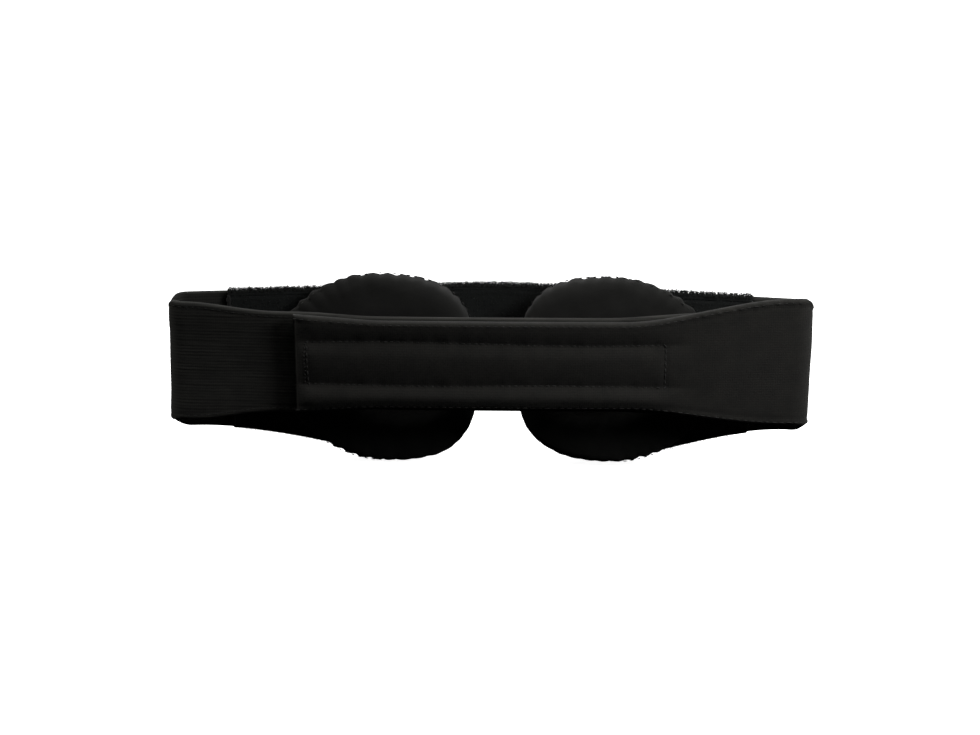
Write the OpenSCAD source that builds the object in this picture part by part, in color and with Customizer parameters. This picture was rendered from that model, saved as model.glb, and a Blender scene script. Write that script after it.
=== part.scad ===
// Sleep eye mask: a foam eye panel with two movable eye cups, and a back
// strap in two halves that close on each other with hook and loop.
// The frame is the wearer's: +Y is forwards, +Z is up, and +X is to the
// wearer's right. The origin is the middle of the head loop, level with
// the middle of the strap's width.

/* [Head loop] */
// Distance between the centres of the two side folds
fold_span = 216; // [190:1:262]
// Outer radius of the right side fold
fold_r = 6.8; // [5.6:0.1:9]
// Place of the nose, to the right of the middle between the folds
nose_x = 3; // [0:0.5:6]
// How far the panel's outer face lies forward of the folds, at the nose
nose_y = 23.8; // [20:0.2:30]
// Outer radius of the panel's bend over the nose
nose_bend_r = 86; // [60:1:140]
// Outer radius of the closed back strap's long bow
back_bow_r = 1825; // [1500:25:3000]
// Place across the head where the back strap lies furthest back
back_bow_x = -40; // [-50:1:-20]

/* [Eye panel] */
// Height of the panel's top edge above the strap's middle
panel_top = 22; // [19:0.5:27]
// Depth of the two lobes under the eyes, below the strap's middle
lobe_drop = 41; // [34:0.5:50]
// Distance of each lobe's lowest point from the nose
lobe_x = 42; // [32:1:48]
// Depth of the top of the nose arch, below the strap's middle
nose_drop = 14; // [8:0.5:20]
// Depth of the panel's lower edge where it meets the folds
fold_far_drop = 27; // [22:0.5:28]
// Distance of each side seam from the centre of its fold
seam_inset = 13.5; // [8:0.5:20]
// Thickness of the panel's outer cover
cover_t = 0.8; // [0.5:0.1:1.2]
// Thickness of the panel's foam
foam_t = 3; // [2:0.1:4]
// Thickness of the loop pile lining
lining_t = 0.8; // [0.5:0.1:1.2]
// Height of the binding along the panel's two long edges
binding_h = 1.4; // [0.8:0.1:2]

/* [Right strap] */
// Width of the strap where the hook tape is sewn on
right_strap_w = 32; // [28:0.5:40]
// Width of the strap at its free end
right_end_w = 36; // [30:0.5:42]
// Height of the strap's middle line above the loop's middle
right_strap_z = 1; // [-2:0.5:2]
// Top of the strap at its fold
right_fold_top = 24.8; // [20:0.2:26]
// Depth of the strap's lower edge at its fold
right_fold_drop = 20.8; // [19:0.2:25]
// Length over which the strap widens towards its fold
right_flare = 60; // [40:1:75]
// Place of the strap's free end, outermost on the back of the head
right_end_x = -70; // [-74:1:-66]

/* [Left strap] */
// Width of the strap under the hook tape
left_strap_w = 34.4; // [28:0.2:40]
// Width of the strap beside the right strap's free end
left_seen_w = 37; // [30:0.2:42]
// Width of the strap at its free end
left_end_w = 38; // [30:0.2:42]
// Top of the strap at its fold
left_fold_top = 21.4; // [20:0.2:24]
// Depth of the strap's lower edge at its fold
left_fold_drop = 21.9; // [20:0.2:25]
// Length over which the strap widens towards its fold
left_flare = 34; // [20:1:50]
// Place of the strap's free end, under the right strap
left_end_x = 77; // [60:1:80]

/* [Strap make-up] */
// Thickness of the strap's face fabric
strap_face_t = 0.8; // [0.5:0.1:1.1]
// Thickness of the strap's elastic core
strap_core_t = 1.4; // [1:0.1:1.8]
// Thickness of the strap's back fabric
strap_back_t = 0.8; // [0.5:0.1:1.1]
// Width of the turned seam along the strap's edges
strap_seam_w = 1.2; // [0.8:0.1:2]
// Length of the folded hem at each free end
hem_len = 3; // [2:0.1:4]

/* [Closure] */
// Width of the hook tape
hook_tape_w = 16; // [12:0.5:22]
// Length of the hook tape
hook_tape_len = 124; // [100:1:126]
// Thickness of the hook tape with its hooks
hook_tape_t = 1.2; // [0.8:0.1:1.6]
// Distance of the tape from the right strap's free end
hook_tape_inset = 8; // [6:0.5:12]
// Gap between the hooks and the loop face
closure_gap = 0.3; // [0.2:0.05:0.6]
// Gap of the sewn tape from the strap's fabric
tape_seat = 0.01; // [0.005:0.005:0.1]
// Width of the sewn line that holds the tape
stitch_w = 0.6; // [0.4:0.1:0.8]
// Distance of the sewn line from the tape's edges
stitch_inset = 0.8; // [0.5:0.1:1.5]
// Height of the sewn line above the fabric
stitch_h = 0.25; // [0.15:0.05:0.4]

/* [Eye cups] */
// Clear distance of each cup from the nose, along the panel
cup_nose_gap = 9.3; // [6:0.1:14]
// Height of the cup's centre
cup_z = -6.3; // [-10:0.2:-4]
// Cup's reach from its centre towards the nose
cup_nose_reach = 34.5; // [28:0.5:42]
// Cup's reach from its centre towards the temple
cup_temple_reach = 38; // [34:0.5:42]
// How much further the cup reaches to the temple above its middle than below
cup_slant = 3; // [0:0.5:4]
// Half of the cup's height
cup_half_h = 33; // [28:0.2:36]
// Thickness of the cup at its nose edge
cup_nose_t = 16; // [13:0.5:17]
// Loss of thickness for each millimetre towards the temple
cup_taper = 0.155; // [0.12:0.005:0.18]
// Thickness of the stiff backing board
board_t = 1.5; // [1:0.1:2]
// Thickness of the cup's fabric
cup_fabric_t = 0.8; // [0.5:0.1:1.2]
// How far the rim piping stands out round the cup
piping_out = 0.8; // [0.4:0.1:1.2]
// How far the rim piping reaches in under the fabric
piping_in = 1.8; // [1.4:0.1:2.5]
// Half width of the eye hollow
hollow_half_w = 17.5; // [14:0.5:19]
// Half height of the eye hollow
hollow_half_h = 13; // [11:0.5:15]
// Distance of the hollow's centre from the cup's, towards the nose
hollow_shift = 6; // [3:0.5:7]

/* [Cup hook patch] */
// Radius of the round hook patch
patch_r = 17; // [12:0.5:20]
// Thickness of the patch with its hooks
patch_t = 1.6; // [1.2:0.1:2]
// How deep the patch sits in the backing board
patch_sunk = 0.6; // [0.4:0.1:0.8]
// Running clearance round the patch and against the lining
patch_gap = 0.1; // [0.05:0.05:0.3]

/* [Hidden] */

panel_t = cover_t + foam_t + lining_t;
strap_t = strap_face_t + strap_core_t + strap_back_t;
fold_x = fold_span / 2;
// Distance of each cup's centre from the nose, along the panel
cup_x = cup_nose_gap + cup_nose_reach;

// Steps along the curved stretches, and round the cups
fold_steps = 9;
panel_steps = 17;
nose_steps = 4;
strap_steps = 22;
cup_steps = 40;
dome_steps = 10;

// Colours
black_knit = [0.09, 0.09, 0.085];
loop_black = [0.06, 0.065, 0.06];
foam_grey = [0.25, 0.25, 0.26];
elastic_black = [0.13, 0.13, 0.13];
hook_black = [0.04, 0.04, 0.045];
cup_black = [0.11, 0.11, 0.1];
board_grey = [0.2, 0.2, 0.2];

// ---- The loop seen from above ----
// A station is [x, y, nx, ny, low, high]: a point of the loop's outer face,
// the direction out of the loop there, and the fabric's lower and upper edge.

function dir(a) = [cos(a), sin(a)];
function mix(a, b, t) = a + (b - a) * t;
function ease(t) = let (c = min(1, max(0, t))) c * c * (3 - 2 * c);
function station(p, n, low, high) = [p[0], p[1], n[0], n[1], low, high];
function backwards(list) = [for (i = [len(list) - 1:-1:0]) list[i]];

// The two halves of the panel are drawn to the right of the nose, each to a
// fold at its own distance, and side is 1 for the right half, -1 for the left
function fold_dist(side) = fold_x - side * nose_x;
function seam_dist(side) = fold_dist(side) - seam_inset;
function placed(side, st) = [nose_x + side * st[0], st[1], side * st[2], st[3], st[4], st[5]];

// The panel's lower edge: a nose arch, a lobe, and a long rise to the fold
function panel_low(x, side) =
    x < lobe_x
        ? -nose_drop - (lobe_drop - nose_drop) * pow(sin(90 * x / lobe_x), 1.3)
        : mix(-lobe_drop, -fold_far_drop,
              (1 - cos(180 * min(1, (x - lobe_x) / (fold_dist(side) - lobe_x)))) / 2);

// Each half is a straight line that runs smoothly out of the bend over the
// nose and into the fold; its slope is the angle between it and the X axis
bend_c = [0, nose_y - nose_bend_r];
function slope(side) =
    let (v = [fold_dist(side), 0] - bend_c)
    90 - atan2(v[1], v[0]) - acos((nose_bend_r - fold_r) / norm(v));
function line_n(side) = dir(90 - slope(side));
function line_start(side) = bend_c + nose_bend_r * line_n(side);
function line_end(side) = [fold_dist(side), 0] + fold_r * line_n(side);
function on_line(x, side) =
    let (a = line_start(side), b = line_end(side))
    placed(side, station(mix(a, b, (x - a[0]) / (b[0] - a[0])), line_n(side),
                         panel_low(x, side), panel_top));

function on_bend(t, side) =
    let (n = dir(90 - slope(side) * t), p = bend_c + nose_bend_r * n)
    placed(side, station(p, n, panel_low(p[0], side), panel_top));
function panel_half(side) = concat(
    [for (i = [1:nose_steps - 1]) on_bend(i / nose_steps, side)],
    [for (i = [0:panel_steps])
        on_line(mix(line_start(side)[0], seam_dist(side), i / panel_steps), side)]
);
panel_path = concat(backwards(panel_half(-1)), [on_bend(0, 1)], panel_half(1));

// The closed back strap is two arcs about one centre, the right half outside
// the left by the tape's thickness and the closure gap
bow_c = [back_bow_x, sqrt(pow(back_bow_r - fold_r, 2) - pow(fold_x - back_bow_x, 2))];
left_bow_r = back_bow_r - strap_t - tape_seat - hook_tape_t - closure_gap;
function bow_angle(x, r) = -acos((x - bow_c[0]) / r);

// The left fold's centre and radius make it run smoothly into both sides
left_excess = left_bow_r - norm([-fold_x, 0] - bow_c) - fold_r;
left_fold_c = [-fold_x, -left_excess / (1 + line_n(-1)[1])];
left_fold_r = left_bow_r - norm(left_fold_c - bow_c);

// Lower and upper edges of the back straps along X
function right_edge(x, fold_edge, way) =
    let (middle = right_strap_z + way * right_strap_w / 2,
         grow = way * (right_end_w - right_strap_w) / 2)
    middle + grow * ease(1 - (x - right_end_x) / 35)
        + (fold_edge - middle) * ease(1 - (fold_x - x) / right_flare);
function left_edge(x, fold_edge, way) =
    let (middle = way * left_strap_w / 2, seen = way * left_seen_w / 2,
         grow = way * (left_end_w - left_strap_w) / 2)
    middle + grow * ease(1 - (left_end_x - x) / 35)
        + (seen - middle) * ease((right_end_x + 32 - x) / 28)
        + (fold_edge - seen) * ease(1 - (x + fold_x) / left_flare);
function right_low(x) = right_edge(x, -right_fold_drop, -1);
function right_high(x) = right_edge(x, right_fold_top, 1);
function left_low(x) = left_edge(x, -left_fold_drop, -1);
function left_high(x) = left_edge(x, left_fold_top, 1);

function bow_station(x, r, low, high) =
    let (n = dir(bow_angle(x, r)))
    station(bow_c + r * n, n, low, high);
function fold_path(c, r, from, to, near_low, near_high) = [
    for (i = [1:fold_steps - 1])
        let (t = i / fold_steps, n = dir(mix(from, to, t)))
        station(c + r * n, n, mix(-fold_far_drop, near_low, ease(t)),
                mix(panel_top, near_high, ease(t)))
];
function seam_to_fold(side) = [
    for (i = [0:2]) on_line(mix(seam_dist(side), line_end(side)[0], i / 2), side)
];

right_turn = atan2(-bow_c[1], fold_x - bow_c[0]);
left_turn = atan2(left_fold_c[1] - bow_c[1], left_fold_c[0] - bow_c[0]) + 360;
// Where each back strap's arc leaves its fold
right_near_x = bow_c[0] + back_bow_r * cos(right_turn);
left_near_x = bow_c[0] + left_bow_r * cos(left_turn);

right_fold_path = concat(
    seam_to_fold(1),
    fold_path([fold_x, 0], fold_r, 90 - slope(1), right_turn, -right_fold_drop, right_fold_top),
    [bow_station(right_near_x, back_bow_r, -right_fold_drop, right_fold_top)]
);
right_path = [
    for (i = [0:strap_steps])
        let (x = mix(right_near_x, right_end_x + hem_len, i / strap_steps))
        bow_station(x, back_bow_r, right_low(x), right_high(x))
];
left_path = concat(
    seam_to_fold(-1),
    fold_path(left_fold_c, left_fold_r, 90 + slope(-1), left_turn,
              -left_fold_drop, left_fold_top),
    [for (i = [0:strap_steps])
        let (x = mix(left_near_x, left_end_x - hem_len, i / strap_steps))
        bow_station(x, left_bow_r, left_low(x), left_high(x))]
);

// ---- Swept solids ----

// A solid through a list of rings with the same number of points. Each side
// is split from corner to corner, and crossed splits it the other way, as the
// piece that it lies against needs where the surface is twisted
module skin(rings, closed, crossed = false) {
    n = len(rings);
    k = len(rings[0]);
    last = closed ? n - 1 : n - 2;
    sides = [
        for (i = [0:last], j = [0:k - 1])
            let (a = i * k + j, b = i * k + (j + 1) % k,
                 c = ((i + 1) % n) * k + j, d = ((i + 1) % n) * k + (j + 1) % k)
            each crossed ? [[a, b, c], [b, d, c]] : [[a, b, d], [a, d, c]]
    ];
    caps = closed ? [] : [[for (j = [k - 1:-1:0]) j], [for (j = [0:k - 1]) (n - 1) * k + j]];
    polyhedron(points = [for (r = rings) each r], faces = concat(sides, caps));
}

// The point at depth d under the loop's outer face, at height z
function under(st, d, z) = [st[0] - st[2] * d, st[1] - st[3] * d, z];

// One layer of fabric along a path, between two depths, held back from the
// lower and upper edges by margins
module layer(path, d0, d1, low_margin = 0, high_margin = 0) {
    skin([for (st = path)
        let (lo = st[4] + low_margin, hi = st[5] - high_margin)
        [under(st, d0, lo), under(st, d0, hi), under(st, d1, hi), under(st, d1, lo)]
    ], false);
}

// A rounded bead along the panel's upper or lower edge, h high. Its flat side
// is divided where the panel's fabrics meet, so that it lies close on them all
module edge_bead(path, h, upper) {
    rim = [[0, 0], [0, 0.55], [0.22, 1], [0.78, 1], [1, 0.55], [1, 0],
           [(cover_t + foam_t) / panel_t, 0], [cover_t / panel_t, 0]];
    section = upper ? rim : backwards(rim);
    skin([for (st = path)
        let (edge = upper ? st[5] - h : st[4] + h, way = upper ? h : -h)
        [for (q = section) under(st, panel_t * q[0], edge + way * q[1])]
    ], false, crossed = true);
}

// The turned edges of a strap, which close its core above and below
module strap_edges(path) {
    skin([for (st = path)
        [under(st, strap_face_t, st[5] - strap_seam_w), under(st, strap_face_t, st[5]),
         under(st, strap_t - strap_back_t, st[5]),
         under(st, strap_t - strap_back_t, st[5] - strap_seam_w)]
    ], false, crossed = true);
    skin([for (st = path)
        [under(st, strap_face_t, st[4]), under(st, strap_face_t, st[4] + strap_seam_w),
         under(st, strap_t - strap_back_t, st[4] + strap_seam_w),
         under(st, strap_t - strap_back_t, st[4])]
    ], false, crossed = true);
}

// A folded end with a round nose; the station is where the strap's layers stop
module end_hem(st, way) {
    r = strap_t / 2;
    translate([st[0], st[1], st[4]])
        rotate(atan2(st[3], st[2]))
            linear_extrude(st[5] - st[4])
                union() {
                    translate([-strap_t, way > 0 ? 0 : r - hem_len])
                        square([strap_t, hem_len - r]);
                    translate([-r, way * (hem_len - r)])
                        circle(r, $fn = 24);
                }
}

// ---- Eye panel ----

module front_cover() {
    color(black_knit) layer(panel_path, 0, cover_t, binding_h, binding_h);
}

module front_foam() {
    color(foam_grey) layer(panel_path, cover_t, cover_t + foam_t, binding_h, binding_h);
}

module loop_lining() {
    color(loop_black) layer(panel_path, cover_t + foam_t, panel_t, binding_h, binding_h);
}

module top_edge_binding() {
    color(elastic_black) edge_bead(panel_path, binding_h, true);
}

module bottom_edge_binding() {
    color(elastic_black) edge_bead(panel_path, binding_h, false);
}

// The sewn step on the inside, where the thin strap meets the thick panel
module side_seam(side) {
    st = on_line(seam_dist(side), side);
    step = panel_t - strap_t;
    along = side * [st[3], -st[2]];
    color(elastic_black)
        translate([0, 0, st[4] + binding_h])
            linear_extrude(st[5] - st[4] - 2 * binding_h)
                polygon([
                    under2(st, strap_t), under2(st, panel_t),
                    under2(st, panel_t - 0.3 * step) + 0.7 * step * along,
                    under2(st, strap_t) + step * along
                ]);
}
function under2(st, d) = [st[0] - st[2] * d, st[1] - st[3] * d];

module right_side_seam() { side_seam(1); }
module left_side_seam() { side_seam(-1); }

// ---- Left strap: its outer face takes the hooks ----

module left_strap_loop_face() {
    color(loop_black) layer(left_path, 0, strap_face_t);
}

module left_strap_elastic() {
    color(elastic_black)
        layer(left_path, strap_face_t, strap_t - strap_back_t, strap_seam_w, strap_seam_w);
}

module left_strap_back() {
    color(black_knit) layer(left_path, strap_t - strap_back_t, strap_t);
}

module left_strap_edge_seams() {
    color(black_knit) strap_edges(left_path);
}

module left_strap_end_hem() {
    color(black_knit) end_hem(left_path[len(left_path) - 1], 1);
}

// ---- Right strap: it carries the hook tape and swings open about its fold ----

module right_fold() {
    color(black_knit) layer(right_fold_path, 0, strap_t);
}

module right_strap_cover() {
    color(black_knit) layer(right_path, 0, strap_face_t);
}

module right_strap_elastic() {
    color(elastic_black)
        layer(right_path, strap_face_t, strap_t - strap_back_t, strap_seam_w, strap_seam_w);
}

module right_strap_back() {
    color(black_knit) layer(right_path, strap_t - strap_back_t, strap_t);
}

module right_strap_edge_seams() {
    color(black_knit) strap_edges(right_path);
}

module right_strap_end_hem() {
    color(black_knit) end_hem(right_path[len(right_path) - 1], -1);
}

// ---- Closure ----

tape_x = right_end_x + hook_tape_inset;

// A band on the right strap between two places and two heights
module tape_band(x0, x1, z0, z1, steps, d0, d1) {
    layer([for (i = [0:steps]) bow_station(mix(x1, x0, i / steps), back_bow_r,
                                           right_strap_z + z0, right_strap_z + z1)], d0, d1);
}

module hook_tape() {
    half = hook_tape_w / 2;
    color(hook_black)
        tape_band(tape_x, tape_x + hook_tape_len, -half, half, strap_steps,
                  strap_t + tape_seat, strap_t + tape_seat + hook_tape_t);
}

// The rectangle of thread on the strap's face that holds the tape
module hook_tape_stitching() {
    z = hook_tape_w / 2 - stitch_inset;
    w = stitch_w / 2;
    x0 = tape_x + stitch_inset;
    x1 = tape_x + hook_tape_len - stitch_inset;
    color(cup_black) {
        for (side = [-1, 1])
            tape_band(x0, x1, side * z - w, side * z + w, strap_steps, -stitch_h, 0);
        for (x = [x0, x1 - stitch_w])
            tape_band(x, x + stitch_w, w - z, z - w, 1, -stitch_h, 0);
    }
}

// ---- Eye cups ----
// A cup is drawn flat against a wall: x runs to the temple, z is up, and the
// cup grows towards -y, which is towards the eye.

function signed_pow(v, e) = sign(v) * pow(abs(v), e);

// The egg-shaped outline, grown by g, squarer on its nose side
function cup_outline(a, g = 0) =
    let (nose = cos(a) < 0, e = nose ? 2 / 2.8 : 1,
         reach = nose ? cup_nose_reach : cup_temple_reach + cup_slant * sin(a))
    [(reach + g) * signed_pow(cos(a), e), (cup_half_h + g) * signed_pow(sin(a), e)];
function hollow_outline(a) =
    [hollow_half_w * cos(a) - hollow_shift, hollow_half_h * sin(a)];

// The cup's thickness above its board, at a place x
function dome_h(x) = cup_nose_t - board_t - cup_taper * (x + cup_nose_reach);

// A point of the dome at angle a round the cup and f over it, from 0 at the
// rim to 180 at the foot of the hollow, sunk by s below the skin
function dome_point(a, f, s) =
    let (o = cup_outline(a), w = norm(hollow_outline(a) - o),
         c = signed_pow(cos(f), 0.8),
         over = pow(0.5 - 0.5 * c * (1 - 2 * s / w), 1.15),
         p = mix(o, hollow_outline(a), over),
         up = (dome_h(p[0]) - s) * pow(abs(sin(f)), 0.72),
         floor_h = f > 90 ? cup_fabric_t - s : 0)
    [p[0], -max(up, floor_h), p[1]];

// The closed ring of points that lies j steps over the dome
function dome_ring(j, s) =
    [for (i = [0:cup_steps - 1]) dome_point(round_the_cup(i), 180 * j / dome_steps, s)];

function round_the_cup(i) = 360 * i / cup_steps;

// Puts a cup in its place on one half of the panel
module on_panel(side) {
    st = on_line(cup_x, side);
    translate(concat(under2(st, panel_t), [cup_z]))
        rotate(-side * slope(side))
            mirror([side < 0 ? 1 : 0, 0, 0])
                children();
}

board_back = patch_t - patch_sunk + 2 * patch_gap;
board_front = board_back + board_t;

module hook_patch() {
    color(hook_black)
        translate([0, -patch_gap, 0])
            rotate([90, 0, 0])
                cylinder(r = patch_r, h = patch_t, $fn = 64);
}

module cup_board() {
    color(board_grey)
        difference() {
            translate([0, -board_back, 0])
                rotate([90, 0, 0])
                    linear_extrude(board_t)
                        polygon([for (i = [0:cup_steps - 1])
                            cup_outline(round_the_cup(i), -piping_in)]);
            translate([0, -board_back + 1, 0])
                rotate([90, 0, 0])
                    cylinder(r = patch_r + patch_gap, h = patch_sunk + 1, $fn = 64);
        }
}

module cup_foam() {
    color(foam_grey)
        translate([0, -board_front, 0])
            skin([for (j = [0:dome_steps]) dome_ring(j, cup_fabric_t)], true);
}

module cup_cover() {
    color(cup_black)
        translate([0, -board_front, 0])
            skin(concat(
                [for (j = [dome_steps:-1:0]) dome_ring(j, 0)],
                [for (j = [0:dome_steps]) dome_ring(j, cup_fabric_t)]
            ), false);
}

module cup_piping() {
    section = [
        [-piping_in, 0], [-piping_in, 1], [0.2, 1], [0.75 * piping_out, 0.85],
        [piping_out, 0.5], [0.75 * piping_out, 0.15], [0.2, 0]
    ];
    color(black_knit)
        skin([for (i = [0:cup_steps - 1])
            [for (q = section)
                let (p = cup_outline(round_the_cup(i), q[0]))
                [p[0], -board_back - board_t * q[1], p[1]]]
        ], true);
}

module left_hook_patch() { on_panel(-1) hook_patch(); }
module left_cup_board() { on_panel(-1) cup_board(); }
module left_cup_foam() { on_panel(-1) cup_foam(); }
module left_cup_cover() { on_panel(-1) cup_cover(); }
module left_cup_piping() { on_panel(-1) cup_piping(); }
module right_hook_patch() { on_panel(1) hook_patch(); }
module right_cup_board() { on_panel(1) cup_board(); }
module right_cup_foam() { on_panel(1) cup_foam(); }
module right_cup_cover() { on_panel(1) cup_cover(); }
module right_cup_piping() { on_panel(1) cup_piping(); }

front_cover();
front_foam();
loop_lining();
top_edge_binding();
bottom_edge_binding();
left_side_seam();
right_side_seam();
left_strap_loop_face();
left_strap_elastic();
left_strap_back();
left_strap_edge_seams();
left_strap_end_hem();
right_fold();
right_strap_cover();
right_strap_elastic();
right_strap_back();
right_strap_edge_seams();
right_strap_end_hem();
hook_tape();
hook_tape_stitching();
left_hook_patch();
left_cup_board();
left_cup_foam();
left_cup_cover();
left_cup_piping();
right_hook_patch();
right_cup_board();
right_cup_foam();
right_cup_cover();
right_cup_piping();
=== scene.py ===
import bpy
import bmesh
import math
import numpy as np
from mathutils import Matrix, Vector


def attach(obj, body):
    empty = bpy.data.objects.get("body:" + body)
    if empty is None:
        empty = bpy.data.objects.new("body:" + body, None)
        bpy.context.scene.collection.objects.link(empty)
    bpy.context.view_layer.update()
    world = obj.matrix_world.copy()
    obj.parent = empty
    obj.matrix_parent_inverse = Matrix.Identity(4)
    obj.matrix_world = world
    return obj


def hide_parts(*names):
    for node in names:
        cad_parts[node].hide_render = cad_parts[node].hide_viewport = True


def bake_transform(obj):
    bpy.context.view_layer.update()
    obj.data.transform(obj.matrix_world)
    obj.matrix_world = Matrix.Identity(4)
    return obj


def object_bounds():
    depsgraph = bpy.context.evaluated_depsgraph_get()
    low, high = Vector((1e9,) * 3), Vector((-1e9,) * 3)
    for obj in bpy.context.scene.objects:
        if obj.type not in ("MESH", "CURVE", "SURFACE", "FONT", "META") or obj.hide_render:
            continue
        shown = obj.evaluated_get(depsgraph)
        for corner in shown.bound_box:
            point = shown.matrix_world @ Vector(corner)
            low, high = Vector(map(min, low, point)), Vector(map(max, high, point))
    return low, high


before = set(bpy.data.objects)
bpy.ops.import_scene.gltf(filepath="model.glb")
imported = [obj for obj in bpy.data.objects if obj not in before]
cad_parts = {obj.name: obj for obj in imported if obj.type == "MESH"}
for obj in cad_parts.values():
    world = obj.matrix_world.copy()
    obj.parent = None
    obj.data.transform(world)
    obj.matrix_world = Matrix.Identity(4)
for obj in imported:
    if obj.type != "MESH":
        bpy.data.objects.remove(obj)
cadLow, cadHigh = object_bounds()
mm = 0.001
scene = bpy.context.scene
print("frame loaded:", len(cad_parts), "nodes")

# The loop, seen from above, in millimetres

loop = dict(
    foldX=108.0, foldR=6.8, cornerDip=2.0,  # the two side folds, their corners worn round
    noseX=3.0, noseY=23.8, noseR=86.0,  # bend of the panel over the nose
    bowX=-40.0, bowR=1825.0, leftBowR=1820.49,  # closed back strap
    seamInset=13.5, panelT=4.6, strapT=3.0,
)
panelEdge = dict(
    top=22.7, lobeDrop=41.0, lobeX=42.0, noseDrop=14.0, nosePower=1.3, foldDrop={1: 26.2, -1: 28.0},
    leftStart=0.1, leftPower=1.7,  # the left edge climbs early from its lobe and runs out flat
    rightStart=0.07, rightEnd=0.95, rightBend=2.2, rightBent=0.35)  # the right one climbs almost straight
rightEdge = dict(width=32.5, endWidth=36.0, z=0.8, endX=-70.0, flare=60.0, foldTop=25.3, foldDrop=20.8)
leftEdge = dict(width=34.4, seenWidth=37.0, endWidth=38.0, endX=77.0, flare=34.0, foldTop=21.4, foldDrop=21.9)
tape = dict(x0=-62.0, x1=62.0, width=16.0, inset=0.8, thick=1.2)


def ease(t):
    c = np.clip(t, 0.0, 1.0)
    return c * c * (3 - 2 * c)


def mix(a, b, t):
    return a + (b - a) * t


def panelLow(x, side):  # the panel's lower edge, from the nose over the lobe to the fold
    e = panelEdge
    climb = np.sin(np.pi / 2 * np.clip(x / e["lobeX"], 0, 1)) ** e["nosePower"]
    nose = -e["noseDrop"] - (e["lobeDrop"] - e["noseDrop"]) * climb
    foldDist = loop["foldX"] - side * loop["noseX"]
    t = np.clip((x - e["lobeX"]) / (foldDist - e["lobeX"]), 0, 1)
    if side < 0:
        rise = 1 - (1 - t ** 2 * (1 + e["leftStart"]) / (t + e["leftStart"])) ** e["leftPower"]
    else:
        start = (t - e["rightStart"] * (1 - np.exp(-t / e["rightStart"]))) / (1 - e["rightStart"])
        bent = np.tanh(e["rightBend"] * start) / math.tanh(e["rightBend"])
        rise = (1 - np.cos(np.pi * np.clip(t / e["rightEnd"], 0, 1))) / 4
        rise = rise + mix(start, bent, e["rightBent"]) / 2
    lobe = mix(-e["lobeDrop"], -e["foldDrop"][side], rise)
    return np.where(x < e["lobeX"], nose, lobe)


def slopeOf(side):  # slope of one half of the panel, in radians
    v = np.array([loop["foldX"] - side * loop["noseX"], loop["noseR"] - loop["noseY"]])
    return np.pi / 2 - math.atan2(v[1], v[0]) - math.acos((loop["noseR"] - loop["foldR"]) / np.hypot(*v))


def halfPanel(side, x0, x1, count, bend=False):  # rows of place, outward normal, low edge, high edge
    a = slopeOf(side)
    n = np.array([math.sin(a), math.cos(a)])
    centre = np.array([0.0, loop["noseY"] - loop["noseR"]])
    start = centre + loop["noseR"] * n
    rows = []
    for i in range(count + 1):
        if bend:
            b = a * i / count
            m = np.array([math.sin(b), math.cos(b)])
            p = centre + loop["noseR"] * m
        else:
            x = mix(max(x0, start[0]), x1, i / count)
            m = n
            p = start + np.array([x - start[0], -(x - start[0]) * math.tan(a)])
        low = float(panelLow(np.array(p[0]), side))
        rows.append([loop["noseX"] + side * p[0], p[1], side * m[0], m[1], low, panelEdge["top"]])
    return rows


def seamDist(side):
    return loop["foldX"] - side * loop["noseX"] - loop["seamInset"]


def foldEnd(side):  # where the straight half runs into its fold
    return loop["foldX"] - side * loop["noseX"] + loop["foldR"] * math.sin(slopeOf(side))


bowY = math.sqrt((loop["bowR"] - loop["foldR"]) ** 2 - (loop["foldX"] - loop["bowX"]) ** 2)


def rightEdges(x):  # low and high edge of the back strap that lies outside
    e = rightEdge
    rows = []
    for way, foldEdge in ((-1, -e["foldDrop"]), (1, e["foldTop"])):
        middle = e["z"] + way * e["width"] / 2
        grow = way * (e["endWidth"] - e["width"]) / 2
        rows.append(middle + grow * ease(1 - (x - e["endX"]) / 35)
                    + (foldEdge - middle) * ease(1 - (loop["foldX"] - x) / e["flare"]))
    return rows


def leftEdges(x):  # low and high edge of the back strap that lies inside
    e = leftEdge
    rows = []
    for way, foldEdge in ((-1, -e["foldDrop"]), (1, e["foldTop"])):
        middle = way * e["width"] / 2
        seen = way * e["seenWidth"] / 2
        grow = way * (e["endWidth"] - e["width"]) / 2
        rows.append(middle + grow * ease(1 - (e["endX"] - x) / 35)
                    + (seen - middle) * ease((rightEdge["endX"] + 32 - x) / 28)
                    + (foldEdge - seen) * ease(1 - (x + loop["foldX"]) / e["flare"]))
    return rows


def foldRows(side, centre, r, a0, a1, nearLow, nearHigh, count=24):  # round a side fold
    rows = []
    for i in range(1, count):
        t = i / count
        a = mix(a0, a1, t)
        n = [math.cos(a), math.sin(a)]
        dip = loop["cornerDip"] * n[0] ** 10
        rows.append([centre[0] + r * n[0], centre[1] + r * n[1], n[0], n[1],
                     mix(-panelEdge["foldDrop"][side], nearLow, float(ease(t))) + 0.7 * dip,
                     mix(panelEdge["top"], nearHigh, float(ease(t))) - dip])
    return rows


def bowRows(x0, x1, r, edges, count=160):  # along the bowed back strap
    rows = []
    for i in range(count + 1):
        x = mix(x0, x1, i / count)
        n = [(x - loop["bowX"]) / r, -math.sqrt(1 - ((x - loop["bowX"]) / r) ** 2)]
        low, high = edges(x)
        rows.append([x, bowY + r * n[1], n[0], n[1], float(low), float(high)])
    return rows


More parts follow.
